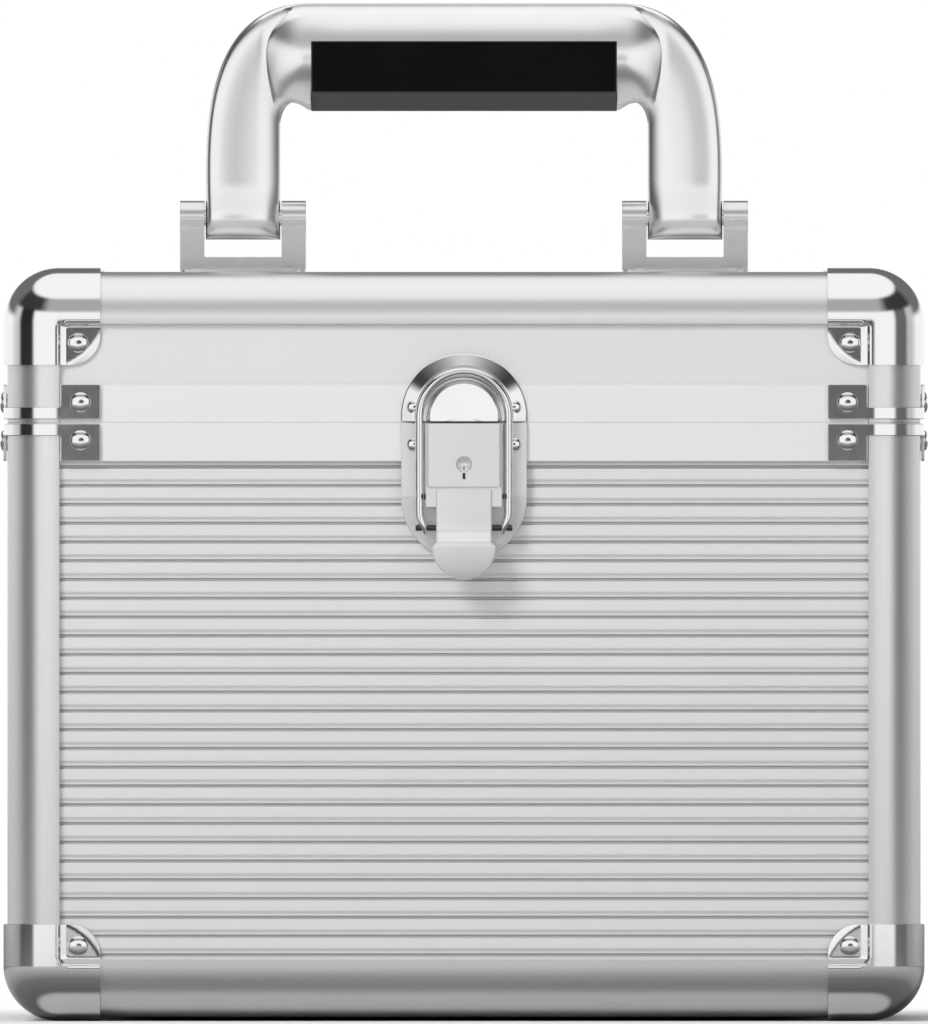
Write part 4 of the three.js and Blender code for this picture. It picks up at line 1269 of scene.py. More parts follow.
def out(height):
    """The y of a place at a height above the case's front"""
    return FRONT - height


# The catch's section, as millimetres outwards and up from its corners
RIM_EDGE = [(0, 0), (0, 0.25), (-0.1, 0.35)]
CREST_EDGE = [(0.3, -0.1), (0, 0), (-0.45, -0.15)]
RIM_FOOT = [(-0.9, 0.2), (-1.3, 0)]
BOSS_FOOT = [(0.5, 0), (0.1, 0.2), (0, 0.6)]
BOSS_EDGE = [(-0.05, -0.4), (-0.15, -0.12), (-0.4, 0), (-0.5, 0)]
BEVEL_SHARES = (0, 0.05, 0.5, 0.95, 1)  # places down a straight bevel, close together at its ends
BOSS_SHARES = (0.75, 0.5, 0.25, 0.03)  # rings of the boss's flat face, of its radius


def along_bevel(start, end):
    """Points down a straight bevel, set so that it shades flat"""
    return [
        (start[0] + (end[0] - start[0]) * run, start[1] + (end[1] - start[1]) * run) for run in BEVEL_SHARES
    ]


def add_catch(t):
    """Half a turned plate with a bevelled rim and the boss that the bail hooks over"""
    ground = t.lift + t.plate
    inner = LATCH_RADIUS - t.bevel_in
    crest = t.lift + t.bevel_rise
    boss_top = ground + t.boss_rise
    rim = beside((LATCH_RADIUS, t.lift), RIM_EDGE)
    ridge = beside((inner, crest), CREST_EDGE)
    section = [
        *rim[:-1], *along_bevel(rim[-1], ridge[0]), *ridge[1:], *beside((inner, ground), RIM_FOOT),
        *beside((t.boss, ground), BOSS_FOOT), *beside((t.boss, boss_top), BOSS_EDGE),
        *[(t.boss * size, boss_top) for size in BOSS_SHARES],
    ]
    disc = lathe("catch", section, 160, (0, FRONT, ARCH_Z), -Y_AXIS)
    for vert in disc.data.vertices:
        if math.hypot(vert.co.x, vert.co.z - ARCH_Z) < (t.boss + inner) / 2:
            share_up = (FRONT - vert.co.y - ground) / t.boss_rise
            vert.co.y += t.boss_fall * (vert.co.z - ARCH_Z) * share_up
    wide = LATCH_RADIUS + PAST
    under = block(
        "under", (-wide, out(boss_top + 2 * PAST), ARCH_Z - wide), (wide, FRONT + PAST, BASE_TOP + t.lift)
    )
    item = combine(disc, [under])
    item.name = "catch_disc"
    pad_round = LATCH_RADIUS - t.pad_inset
    pad_foot = LID_BOTTOM + RIM_HEIGHT + t.lift
    rise = math.degrees(math.asin((pad_foot - ARCH_Z) / pad_round))
    outline = arc((0, ARCH_Z), pad_round, rise, 180 - rise, 40)
    pad = prism("catch_pad", "y", outline, out(t.lift), out(t.lift - t.pad))
    dress(soften(item, t.edge / 2), finish("wire"), "lid", "latch_chrome", "catch_plate")
    dress(soften(pad, t.edge), finish("latch"), "lid", "latch_chrome")


def add_base_plate(t):
    """Flat plate with a fold across it, and the lock housing folded out of thicker sheet"""
    foot = arc((0, FOOT_Z), LATCH_RADIUS, 180, 360, 56)
    work = bmesh.new()
    outline = [(-LATCH_RADIUS, BASE_TOP), *foot, (LATCH_RADIUS, BASE_TOP)]
    work.faces.new([work.verts.new((x, out(t.lift + t.plate), z)) for x, z in outline])
    fold = BASE_TOP - t.fold_drop
    bmesh.ops.bisect_plane(
        work, geom=[*work.verts, *work.edges, *work.faces], plane_co=(0, 0, fold), plane_no=(0, 0, 1)
    )
    for vert in work.verts:
        vert.co.y += t.fold_slope * max(0, fold - vert.co.z)
    skins = bmesh.ops.extrude_face_region(work, geom=list(work.faces))
    moved = [v for v in skins["geom"] if isinstance(v, bmesh.types.BMVert)]
    bmesh.ops.translate(work, verts=moved, vec=(0, t.plate, 0))
    mesh = finished(work, bpy.data.meshes.new("latch_plate"), FLAT_ANGLE)
    plate = soften(add_object("latch_plate", mesh), t.edge)
    dress(plate, finish("latch"), "base", "latch_chrome", "latch_base_plate")
    dress(soften(lock_housing(t), t.edge), finish("latch"), "base", "latch_chrome")
    pad_round = LATCH_RADIUS - t.pad_inset
    pad_top = BASE_TOP - RIM_HEIGHT - t.lift
    outline = [(-pad_round, pad_top), *arc((0, FOOT_Z), pad_round, 180, 360, 40), (pad_round, pad_top)]
    pad = prism("latch_pad", "y", outline, out(0), out(t.lift - t.pad))
    dress(pad, finish("steel"), "base", "latch_chrome")


def lock_housing(t):
    """A channel over the lever's head: face, two cheeks and a closed top"""
    half, wall = t.housing_half, t.housing_wall
    front, back = out(HOUSING_OUT), out(t.lift + t.plate - t.housing_sink)
    top = BASE_TOP - t.lift
    face_foot = BASE_TOP - t.housing_length
    cheek_foot = face_foot - t.cheek
    corners = [(-half, back), (-half, front), (half, front), (half, back)]
    bends = [0, t.housing_bend, t.housing_bend, 0]
    outer = prism("lock_housing", "z", filleted(corners, bends, 8), cheek_foot, top)
    inner_half, inner_round = half - wall, t.housing_bend - wall * INNER_BEND_SHARE
    hollow_corners = [
        (-inner_half, back + PAST), (-inner_half, front + wall),
        (inner_half, front + wall), (inner_half, back + PAST),
    ]
    hollow_outline = filleted(hollow_corners, [0, inner_round, inner_round, 0], 6)
    hollow = prism("hollow", "z", hollow_outline, cheek_foot - PAST, top - wall)
    window = block(
        "window", (-half - PAST, front - PAST, cheek_foot - PAST),
        (half + PAST, front + t.housing_bend * WINDOW_SHARE, face_foot),
    )
    barrel_z = PIVOTS["key_turn"].z
    bore_round = t.barrel + t.barrel_play
    bore = lathe("bore", [(bore_round, 0), (bore_round, 2 * PAST)], 48, (0, front - PAST, barrel_z), Y_AXIS)
    notch = block(
        "notch", (-t.key_slot / 2, front - PAST, barrel_z - NOTCH_SHARES[0] * t.barrel),
        (t.key_slot / 2, front + PAST, barrel_z - NOTCH_SHARES[1] * t.barrel),
    )
    item = combine(outer, [hollow, window, bore, notch])
    stud_end = t.lever_half - t.stud_depth
    pivot = PIVOTS["lever_hinge"]
    for name, side in SIDES.items():
        section = stud_section(t, half - stud_end + t.stud_out, STUD_CHAMFER)
        stud = lathe(f"lever_stud_{name}", section, 32, (side * stud_end, pivot.y, pivot.z), side * X_AXIS)
        dress(stud, finish("dark"), "base", "latch_chrome")
    return item


def stud_section(t, end, chamfer):
    """Section of a stud with a chamfered end"""
    return [(t.stud, 0), (t.stud, end - chamfer), (t.stud * STUD_END_SHARE, end)]


def add_key_barrel(t):
    """Barrel with a dished face and a slot for the key"""
    place = Vector((0, out(HOUSING_OUT) + t.barrel_sink, PIVOTS["key_turn"].z))
    dish = t.barrel - t.barrel_rim
    section = [(t.barrel, -t.barrel_length), (t.barrel, -t.barrel_rim), (dish, 0)]
    for i in range(1, DISH_STEPS):
        run = i / DISH_STEPS
        section.append((dish * (1 - run), -t.dish * math.sin(math.pi / 2 * run)))
    barrel = lathe("lock_barrel", section, 64, place, -Y_AXIS)
    half = t.key_slot / 4
    slot_foot, slot_head = (place.z - t.barrel * size for size in KEY_SLOT_SHARES)
    slot = block("slot", (-half, place.y - PAST, slot_foot), (half, place.y + t.slot_depth, slot_head))
    item = soften(combine(barrel, [slot]), t.edge / 3, 2)
    dress(item, finish("latch"), "key", "fitting_steel", "key_barrel")


def strap_ring(half, y_face, slope, z, thickness, steps=3):
    """Rounded section of a strap: half width, outer face and how the strap leans"""
    corner = min(thickness * STRAP_ROUND_SHARES[0], half * STRAP_ROUND_SHARES[1])
    outline = filleted(rectangle(-half, 0, half, thickness), corner, steps)
    lean = Vector((0, math.cos(slope), math.sin(slope)))
    return [Vector((x, y_face, z)) + lean * depth for x, depth in outline]


def add_lever(t):
    """Bent strap with a round finger tongue, and the two cheeks that carry the bail"""
    pivot = PIVOTS["lever_hinge"]
    face = out(HOUSING_OUT)
    top = pivot.z + t.lever_head
    bend_top = pivot.z - t.lever_length
    bend_foot = bend_top - t.lever_run
    tip = bend_foot - t.tongue_length
    kicked = face - t.lever_kick
    slope = math.atan2(t.lever_kick, t.lever_run)
    straight_foot = bend_top + t.kick_early
    rings = []
    for i in range(STRAP_STEPS + 1):
        z = top + (straight_foot - top) * i / STRAP_STEPS
        rings.append(strap_ring(t.lever_half, face, 0, z, t.lever_plate))
    for i in range(1, KICK_STEPS):
        run = i / KICK_STEPS
        z = straight_foot + (bend_foot - straight_foot) * run
        lean = -slope * KICK_LEAN_SHARE * math.sin(math.pi * run)
        rings.append(strap_ring(t.lever_half, face - t.lever_kick * eased(run), lean, z, t.lever_plate))
    centre = tip + t.tongue_half
    tongue = []
    for i in range(SWELL_STEPS):
        swell = math.sin(math.pi / 2 * (i + 1) / SWELL_STEPS)
        half = t.lever_half + (t.tongue_half - t.lever_half) * swell
        tongue.append((half, bend_foot + (centre - bend_foot) * (i + SWELL_SHIFT) / SWELL_STEPS))
    for i in range(TIP_STEPS + 1):
        turn = math.pi / 2 * i / TIP_STEPS
        half = max(t.tip_half, t.tongue_half * math.cos(turn))
        tongue.append((half, centre - t.tongue_half * math.sin(turn)))
    for half, z in tongue:
        rings.append(strap_ring(half, kicked + t.tongue_tuck * (bend_foot - z), 0, z, t.lever_plate))
    strap = loft("lever_strap", rings, angle=BENT_ANGLE)
    dress(strap, finish("latch"), "lever", "latch_chrome", "latch_lever")
    bail_z = PIVOTS["bail_hinge"].z
    near, deep, foot = face + CHEEK_FRONT, WIRE_Y + t.wire + CHEEK_BACK, bail_z - CHEEK_DROP
    cheek = [(near, top), (pivot.y + CHEEK_TOP, top), (deep, bail_z + CHEEK_RISE), (deep, foot), (near, foot)]
    outline = filleted(cheek, CHEEK_ROUND, 5)
    for name, side in SIDES.items():
        ends = sorted((side * t.lever_half, side * (t.lever_half - t.cheek_plate)))
        plate = prism(f"lever_cheek_{name}", "x", outline, *ends)
        dress(soften(plate, t.edge / 2), finish("latch"), "lever", "latch_chrome")


def add_bail(t):
    """Round wire: in through one cheek, up, over the boss, down and in again"""
    half = high("latch_bail").x - t.wire
    foot = PIVOTS["bail_hinge"].z
    leg = [(half - inward * MM, foot + up * MM, size) for inward, up, size in BAIL_END]
    leg.append((half, ARCH_Z - t.bail_lead, 1))
    bow = [(x, z, 1) for x, z in arc((0, ARCH_Z), half, 0, 180, 64)]
    path = [*leg, *bow, *[(-x, z, size) for x, z, size in reversed(leg)]]
    rings = []
    for i, (x, z, size) in enumerate(path):
        before = Vector(path[max(0, i - 1)][:2])
        after = Vector(path[min(len(path) - 1, i + 1)][:2])
        along = (after - before).normalized()
        circle = arc((0, 0), t.wire * size, 0, 360, 28)[:-1]
        rings.append([Vector((x + along.y * a, WIRE_Y + b, z - along.x * a)) for a, b in circle])
    item = loft("bail_wire", rings, angle=ROUND_ANGLE)
    dress(item, finish("wire"), "bail", "latch_chrome", "latch_bail")
    start = t.lever_half - t.cheek_plate
    run = half + t.wire * BAIL_PIN_SHARE - start
    section = stud_section(t, run, BAIL_CHAMFER)
    for name, side in SIDES.items():
        pin = lathe(f"bail_pin_{name}", section, 28, (side * start, WIRE_Y, foot), side * X_AXIS)
        dress(pin, finish("dark"), "bail", "latch_chrome")


def add_latch_rivets(t):
    section = domed(t.rivet, t.rivet_rise)
    ground = t.lift + t.plate
    levels = {
        "lid": (LID_BOTTOM + t.catch_rivet, ground + t.rivet_lift),
        "base": (BASE_TOP - t.base_rivet, ground),
    }
    for body, (z, face) in levels.items():
        spots = [((side * t.rivet_x, out(face), z), -Y_AXIS) for side in SIDES.values()]
        item = rivets(f"latch_rivets_{body}", section, spots)
        dress(item, finish("chrome"), body, "latch_chrome")


# Handle
FOOT_STEPS, LEG_STEPS, SHOULDER_STEPS, SPAN_STEPS = 8, 6, 34, 14  # stations along the handle's stretches
FOOT_SHARE = 0.995  # keeps the first station just off a leg's lowest point
SWEEP_POWER = 0.8  # below one, the shoulder's outer sweep is fuller
CLIMB_SHARE = 0.42  # share of the shoulder along which its inner edge is straight
RING_STEPS = 28  # points across the front of a section
LEAN_POWER = 1.6  # above one, a leg's slope to its inner edge starts softer
BEHIND_SHARE = 0.6  # how much thinner the frame's top is behind the bar
# The bar's outline, as millimetres outwards and up from the grip's end and from the bar's own end
BAR_COLLAR = [(0.3, 0), (1.5, 0.6), (3.1, 1.5), (4.9, 1.9), (6.7, 1.4), (8.1, 0.4)]
BAR_END = [(-3.4, 0.6), (-1.9, 5), (-0.8, 9.6), (0, 14), (-0.2, 17.4), (-1.8, 20.3), (-4.4, 22.6)]
BAR_SHOULDER = [(-8.2, -0.9), (-13, -0.2), (-18, 0)]
LOOP_PASSES = 70  # rounds of smoothing for the bar's inner rings
BAR_RINGS = 24  # rings from the bar's middle line to its rim
SHARP_POWER = 5  # how late the rings take up the bar's crisp outline
CROWN_POWER = 1.8  # two is a round crown, and less is more pointed
RIM_SHARE = 0.86  # where the rounding along the bar's rim starts
PIN_CHAMFER = 0.3 * MM
PIN_END_SHARE, ROD_END_SHARE = 0.8, 0.7  # how wide a pin's ends are, of its radius


def handle_edges(h):
    """Stations along half the handle: the inner and outer edge of each, from a leg's foot up"""
    pivot = PIVOTS["handle_hinge"].z
    half_span = high("handle_frame").x
    inner_x = half_span - h.leg
    bar_top, bar_under = pivot + h.top, pivot + h.under
    spring = bar_top - h.corner_z
    heights = [pivot - h.leg_half * FOOT_SHARE]
    heights += [pivot - h.leg_half * math.cos(math.pi / 2 * i / FOOT_STEPS) for i in range(1, FOOT_STEPS + 1)]
    heights += [pivot + (spring - pivot) * i / LEG_STEPS for i in range(1, LEG_STEPS + 1)]
    stations = [((inner_x, z), (half_span, z)) for z in heights]
    rise = bar_under - h.inner_corner - spring
    for i in range(1, SHOULDER_STEPS + 1):
        run = i / SHOULDER_STEPS
        turn = math.pi / 2 * run
        outer = (
            half_span - h.corner_x * (1 - math.cos(turn) ** SWEEP_POWER),
            spring + h.corner_z * math.sin(turn) ** SWEEP_POWER,
        )
        climb = min(1, run / CLIMB_SHARE)
        bend = max(0, (run - CLIMB_SHARE) / (1 - CLIMB_SHARE)) * math.pi / 2
        inner = (
            inner_x - h.inner_corner * (1 - math.cos(bend)),
            spring + rise * climb + (h.inner_corner + h.grip_cover) * math.sin(bend),
        )
        stations.append((inner, outer))
    start_in, start_out = stations[-1][0][0], stations[-1][1][0]
    for i in range(1, SPAN_STEPS + 1):
        left = 1 - i / SPAN_STEPS
        stations.append(((start_in * left, bar_under + h.grip_cover), (start_out * left, bar_top)))
    return stations


def leg_depth(h, z):
    """Half the depth of a leg: it flares a little towards its pivot and is rounded below it"""
    pivot = PIVOTS["handle_hinge"].z
    if z < pivot:
        return math.sqrt(max(0, h.leg_half ** 2 - (pivot - z) ** 2))
    flare = min(1, (z - pivot) / h.leg_flare)
    return h.leg_half - h.leg_waist * flare


def handle_ring(h, inner, outer, side):
    """Section of the handle between its inner and outer edge, with well rounded edges"""
    thin_from = PIVOTS["handle_hinge"].z + h.top - h.behind_drop
    front = []
    for i in range(RING_STEPS + 1):
        s = -math.cos(math.pi * i / RING_STEPS)
        x = inner[0] + (outer[0] - inner[0]) * (1 + s) / 2
        z = inner[1] + (outer[1] - inner[1]) * (1 + s) / 2
        edge = max(0, 1 - abs(s) ** h.leg_square) ** (1 / h.leg_square)
        lean = 1 - h.leg_lean * (max(0, h.leg_ridge - s) / (1 + h.leg_ridge)) ** LEAN_POWER
        behind = h.neck + (1 - h.neck) * eased((x - h.neck_from) / h.neck_blend)
        if x < h.neck_from:
            behind *= 1 - BEHIND_SHARE * eased((z - thin_from) / h.behind_blend)
        front.append((x, leg_depth(h, z) * edge * lean * behind, z))
    ring = [Vector((side * x, MIDDLE_Y - depth, z)) for x, depth, z in front]
    ring += [Vector((side * x, MIDDLE_Y + depth, z)) for x, depth, z in reversed(front[1:-1])]
    return ring


def add_handle_frame(h):
    stations = handle_edges(h)
    rings = [handle_ring(h, inner, outer, 1) for inner, outer in stations]
    rings += [handle_ring(h, inner, outer, -1) for inner, outer in reversed(stations[:-1])]
    item = loft("cast_handle", rings, angle=FIRM_ANGLE)
    dress(item, finish("handle"), "handle", "handle_metal", "handle_frame")


def bar_outline(h):
    """Right half of the thicker bar: its place from the middle and its height above the pivot"""
    return [
        *beside((h.grip_half, h.under), BAR_COLLAR), *beside((h.bar_half, h.under), BAR_END),
        *beside((h.bar_half, h.top - h.bar_drop), BAR_SHOULDER),
    ]


def smooth_loop(points, step):
    """A closed smooth curve through the points, with a point at about every step"""
    size = len(points)
    curve = []
    for i in range(size):
        before, here, ahead, after = (Vector(points[(i + k) % size]) for k in (-1, 0, 1, 2))
        span = (ahead - here).length
        leave = (ahead - before).normalized() * span
        arrive = (after - here).normalized() * span
        steps = max(1, round(span / step))
        for k in range(steps):
            t = k / steps
            place = here * (2 * t ** 3 - 3 * t ** 2 + 1) + ahead * (3 * t ** 2 - 2 * t ** 3)
            place += leave * (t ** 3 - 2 * t ** 2 + t) + arrive * (t ** 3 - t ** 2)
            curve.append(tuple(place))
    return curve


def relaxed(outline, passes):
    """A closed outline whose points have moved towards their neighbours' middle, again and again"""
    for _ in range(passes):
        ahead = [*outline[1:], outline[0]]
        behind = [outline[-1], *outline[:-1]]
        outline = [
            tuple((a + 2 * b + c) / 4 for a, b, c in zip(*three)) for three in zip(behind, outline, ahead)
        ]
    return outline


def add_bar(h):
    """Bar between the legs, round in section, with a seat for the rubber"""
    pivot = PIVOTS["handle_hinge"].z
    right = bar_outline(h)
    outline = smooth_loop([*right, *[(-x, z) for x, z in reversed(right)]], h.bar_step)
    rounded = relaxed(outline, LOOP_PASSES)
    middle = (h.under + h.top - h.bar_drop) / 2
    reach = h.bar_half - h.bar_end

    def skin(share_in, side):
        """The outline drawn in towards the bar's middle line, at its depth on one side"""
        crown = 1 - share_in ** CROWN_POWER
        rim = max(0, (share_in - RIM_SHARE) / (1 - RIM_SHARE)) ** 2
        ring = []
        for soft, sharp in zip(rounded, outline):
            x, z = (a + (b - a) * share_in ** SHARP_POWER for a, b in zip(soft, sharp))
            line = max(-reach, min(reach, x))
            wall = h.bar_wall + (h.bar_end_wall - h.bar_wall) * eased((abs(x) - h.bar_from) / h.bar_blend)
            depth = wall + (h.bar_depth - wall) * crown - h.bar_round * rim
            across = line + (x - line) * share_in
            ring.append(Vector((across, MIDDLE_Y + side * depth, pivot + middle + (z - middle) * share_in)))
        return ring

    shares = [math.sin(math.pi / 2 * i / BAR_RINGS) for i in range(1, BAR_RINGS + 1)]
    rings = [skin(size, -1) for size in shares] + [skin(size, 1) for size in reversed(shares)]
    bar = loft("handle_bar", rings, angle=ROUND_ANGLE)
    seat_top = low("handle_grip").z + h.grip_cover
    seat = block(
        "seat", (-h.grip_half, MIDDLE_Y - 10 * PAST, seat_top - 10 * PAST),
        (h.grip_half, MIDDLE_Y + 10 * PAST, seat_top),
    )
    dress(combine(bar, [seat]), finish("handle"), "handle", "handle_metal")


def add_grip(h):
    """Rubber sleeve wrapped round the bar from below"""
    lo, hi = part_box("handle_grip")
    half = h.bar_depth + h.grip_proud
    inner = h.seat_depth + h.grip_play
    floor = lo.z + h.grip_cover
    behind = [
        (half - h.grip_corner, lo.z), (half, lo.z + h.grip_corner), (half, hi.z), (inner, hi.z),
        (inner, floor),
    ]
    ahead = [(-a, b) for a, b in reversed(behind)]
    outline = [(MIDDLE_Y + a, b) for a, b in [*behind, *ahead]]
    sleeve = prism("rubber_grip", "x", outline, -h.grip_half, h.grip_half)
    soften(sleeve, h.steel_edge, 3, FIRM_ANGLE)
    dress(sleeve, finish("rubber"), "handle", "grip_rubber", "handle_grip")


def cross_pin(name, radius, ends, place, sides, end_share):
    """A round pin along x with chamfered ends"""
    start, end = ends
    tip = radius * end_share
    section = [(tip, start), (radius, start + PIN_CHAMFER), (radius, end - PIN_CHAMFER), (tip, end)]
    return lathe(name, section, sides, place, X_AXIS)


def add_bracket(h, name):
    """Foot plate, saddle and two ears round a leg's foot, with the screws and the pivot pin"""
    pivot = PIVOTS["handle_hinge"]
    node = f"handle_bracket_{name}"
    seat = low(node).z
    middle = (low(node).x + high(node).x) / 2
    inner = h.leg / 2 + h.ear_gap
    outer = inner + h.ear
    half = h.upright / 2
    turn = math.degrees(math.asin(half / h.ride))
    ear_foot = seat + h.ear_lift
    keyhole = [
        (half, ear_foot), *arc((0, pivot.z), h.ride, -90 + turn, 270 - turn, 56), (-half, ear_foot),
    ]
    outline = [(pivot.y + a, b) for a, b in keyhole]
    spans = [sorted((middle + side * inner, middle + side * outer)) for side in SIDES.values()]
    ears = [prism("ear", "x", outline, *span) for span in spans]
    saddle = block(
        "saddle", (middle - outer, pivot.y - half, seat + h.saddle_lift),
        (middle + outer, pivot.y + half, seat + h.saddle),
    )
    deep = h.foot / 2
    corners = filleted(rectangle(-outer, -deep, outer, deep), h.foot_corner, 6)
    foot_outline = [(middle + a, pivot.y + b) for a, b in corners]
    foot = prism(f"bracket_{name}", "z", foot_outline, seat, seat + h.foot_plate)
    item = soften(combine(foot, [saddle, *ears], "UNION"), h.steel_edge, 3, FIRM_ANGLE)
    dress(item, finish("steel"), "lid", "fitting_steel", node)
    across, along, top = outer - h.bolt_in, deep - h.bolt_in, seat + h.foot_plate
    bolts = [
        screw_head("bolt", h.bolt, h.bolt_rise, (middle + dx * across, pivot.y + dy * along, top), Z_AXIS)
        for dx in SIDES.values() for dy in SIDES.values()
    ]
    dress(merged(f"bracket_screws_{name}", bolts), finish("steel"), "lid", "fitting_steel")
    reach = high(f"handle_pin_{name}").x - middle
    place = (middle, pivot.y, pivot.z)
    pin = cross_pin(f"pivot_pin_{name}", h.pin, (-reach, reach), place, 40, PIN_END_SHARE)
    dress(pin, finish("steel"), "lid", "fitting_steel", f"handle_pin_{name}")


# Hinge
def add_leaf(g, node, name, body, up, first):
    """One leaf: its plate, every other knuckle rolled round the pin, and its screws"""
    lo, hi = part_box(node)
    half = (hi.x - lo.x) / 2
    step = 2 * half / g.knuckles
    axis = PIVOTS["lid_hinge"]
    inner = axis.y - g.radius
    outer = inner + g.leaf
    near, far = axis.z + up * (g.radius + g.clear), axis.z + up * g.drop
    root = near + up * g.clear
    outline = filleted(rectangle(-half, near, half, far), [0, 0, g.corner, g.corner], 5)
    plate = prism(name, "y", outline, inner, outer)
    tail = [(inner, axis.z), (outer, axis.z), (outer, root), (inner, root)]
    roll = arc((axis.y, axis.z), g.radius, 0, 360, 48)[:-1]
    parts = []
    for i in range(first, g.knuckles, 2):
        start, end = -half + i * step + g.knuckle_gap, -half + (i + 1) * step - g.knuckle_gap
        parts.append(prism("tail", "x", tail, start, end))
        parts.append(prism("roll", "x", roll, start, end))
    item = combine(plate, parts, "UNION")
    bore = arc((axis.y, axis.z), g.pin + g.bore_play, 0, 360, 32)[:-1]
    combine(item, [prism("bore", "x", bore, -half - PAST / 2, half + PAST / 2)])
    soften(item, g.edge, 2, BENT_ANGLE)
    dress(item, finish("steel"), body, "fitting_steel", node)
    heads = []
    for i in range(g.screws):
        place = (2 * half * (i + 0.5) / g.screws - half, outer, (near + far) / 2)
        heads.append(screw_head("screw", g.screw, g.screw_rise, place, Y_AXIS))
    dress(merged(f"{name}_screws", heads), finish("steel"), body, "fitting_steel")


def add_hinge_pin(g):
    lo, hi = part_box("hinge_pin")
    axis = PIVOTS["lid_hinge"]
    pin = cross_pin("hinge_rod", g.pin, (lo.x, hi.x), (0, axis.y, axis.z), 32, ROD_END_SHARE)
    dress(pin, finish("steel"), "base", "fitting_steel", "hinge_pin")


# Foam
def add_tray(f):
    lo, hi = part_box("drive_tray")
    tray = block("foam_tray", lo, hi)
    rib = (hi.x - lo.x - f.drives * f.slot_x) / (f.drives + 1)
    middle, half = (lo.y + hi.y) / 2, f.slot_y / 2
    slots = []
    for i in range(f.drives):
        left = lo.x + rib + i * (f.slot_x + rib)
        corners = rectangle(left, middle - half, left + f.slot_x, middle + half)
        outline = filleted(corners, f.slot_corner, 5)
        slots.append(prism("slot", "z", outline, lo.z + f.slot_floor, hi.z + PAST))
    item = soften(combine(tray, slots), f.soft_edge, 4)
    dress(item, finish("foam"), "base", "foam", "drive_tray")


def add_lining(f):
    lo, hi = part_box("lid_lining")
    cover = block("foam_lining", lo, hi)
    corners = rectangle(lo.x + f.lining, lo.y + f.lining, hi.x - f.lining, hi.y - f.lining)
    hollow = prism("hollow", "z", filleted(corners, 2 * f.lining, 6), lo.z - PAST, hi.z - f.pad)
    item = soften(combine(cover, [hollow]), f.soft_edge, 4)
    dress(item, finish("foam"), "lid", "foam", "lid_lining")


# Stage
# Grey levels of the studio's walls by the turn from the camera's side, 0, to the far side, 1
LEFT_WALL = [(0, 1), (0.285, 1), (0.32, 0.02), (0.47, 0.02), (0.52, 0.65), (1, 0.65)]
RIGHT_WALL = [(0, 1), (0.29, 1), (0.33, 0.14), (0.45, 0.14), (0.5, 0.58), (1, 0.58)]
UPPER_WALL = [(0, 0.42), (0.12, 0.42), (0.24, 0.04), (1, 0.04)]
# painted on the far floor, where glossy rays see it glow as a painted reflection of the walls
FLOOR_PAINTED_WALLS = [(0, 1), (0.285, 1), (0.32, 0.11), (0.47, 0.11), (0.56, 0.2), (1, 0.2)]
REAR_FROM = [(0.55, 0), (0.65, 1)]
# The same by height, from the horizon, 0, to straight up, 1
UPPER_FROM = [(0.23, 0), (0.29, 1)]
REAR_BAND = [(0.08, 1), (0.15, 0.16), (0.56, 0.16), (0.72, 1)]
CEILING_FROM = [(0.55, 0), (0.61, 1)]
# The same by the angle off the middle of the dark spot, where 1 is straight away from it
DARK_SPOT = [(0.032, 1), (0.052, 0)]
DARK_LEVEL = 0.015
# Painted reflection: grey levels painted on the floor for glossy rays alone, by how they arrive, from a flat
# glance, 0, to one from right above, 1
FLAT_GLANCE = [(0, 0.6), (0.2, 0.42), (0.45, 0.2)]
STEEP_GLANCE, RIGHT_ABOVE = 0.82, 0.9
WHITE = (1, 1, 1, 1)

# Lamps and view, in metres
KEY_PLACE, KEY_SIZE = (-1.1, FRONT - 1.5, 1.5), 0.7
FILL_PLACE, FILL_SIZE = (1.5, FRONT - 1.3, 0.7), 0.5
VIEW_DEPTH = 200


def faded(tree, ahead, near, far):
    """From nothing to one with the distance from a place in front of the case"""
    shift = tree.nodes.new("ShaderNodeVectorMath")
    shift.inputs[1].default_value = (0, ahead, 0)
    tree.links.new(own_place(tree), shift.inputs[0])
    away = tree.nodes.new("ShaderNodeVectorMath")
    away.operation = "LENGTH"
    tree.links.new(shift.outputs["Vector"], away.inputs[0])
    return fitted(tree, away.outputs["Value"], near, far, interpolation="SMOOTHSTEP")


def turned(tree, aside, ahead):
    """How far a direction turns from straight ahead, 0, to behind, 1, alike on both sides"""
    turn = calculate(tree, "ARCTAN2", calculate(tree, "ABSOLUTE", aside), ahead)
    return calculate(tree, "DIVIDE", turn, math.pi)


def seen_directly(tree):
    """One for the rays that show a surface itself, in the picture, a mirror or glass"""
    path = tree.nodes.new("ShaderNodeLightPath").outputs
    seen = calculate(tree, "MAXIMUM", path["Is Camera Ray"], path["Is Glossy Ray"])
    return calculate(tree, "MAXIMUM", seen, path["Is Transmission Ray"])


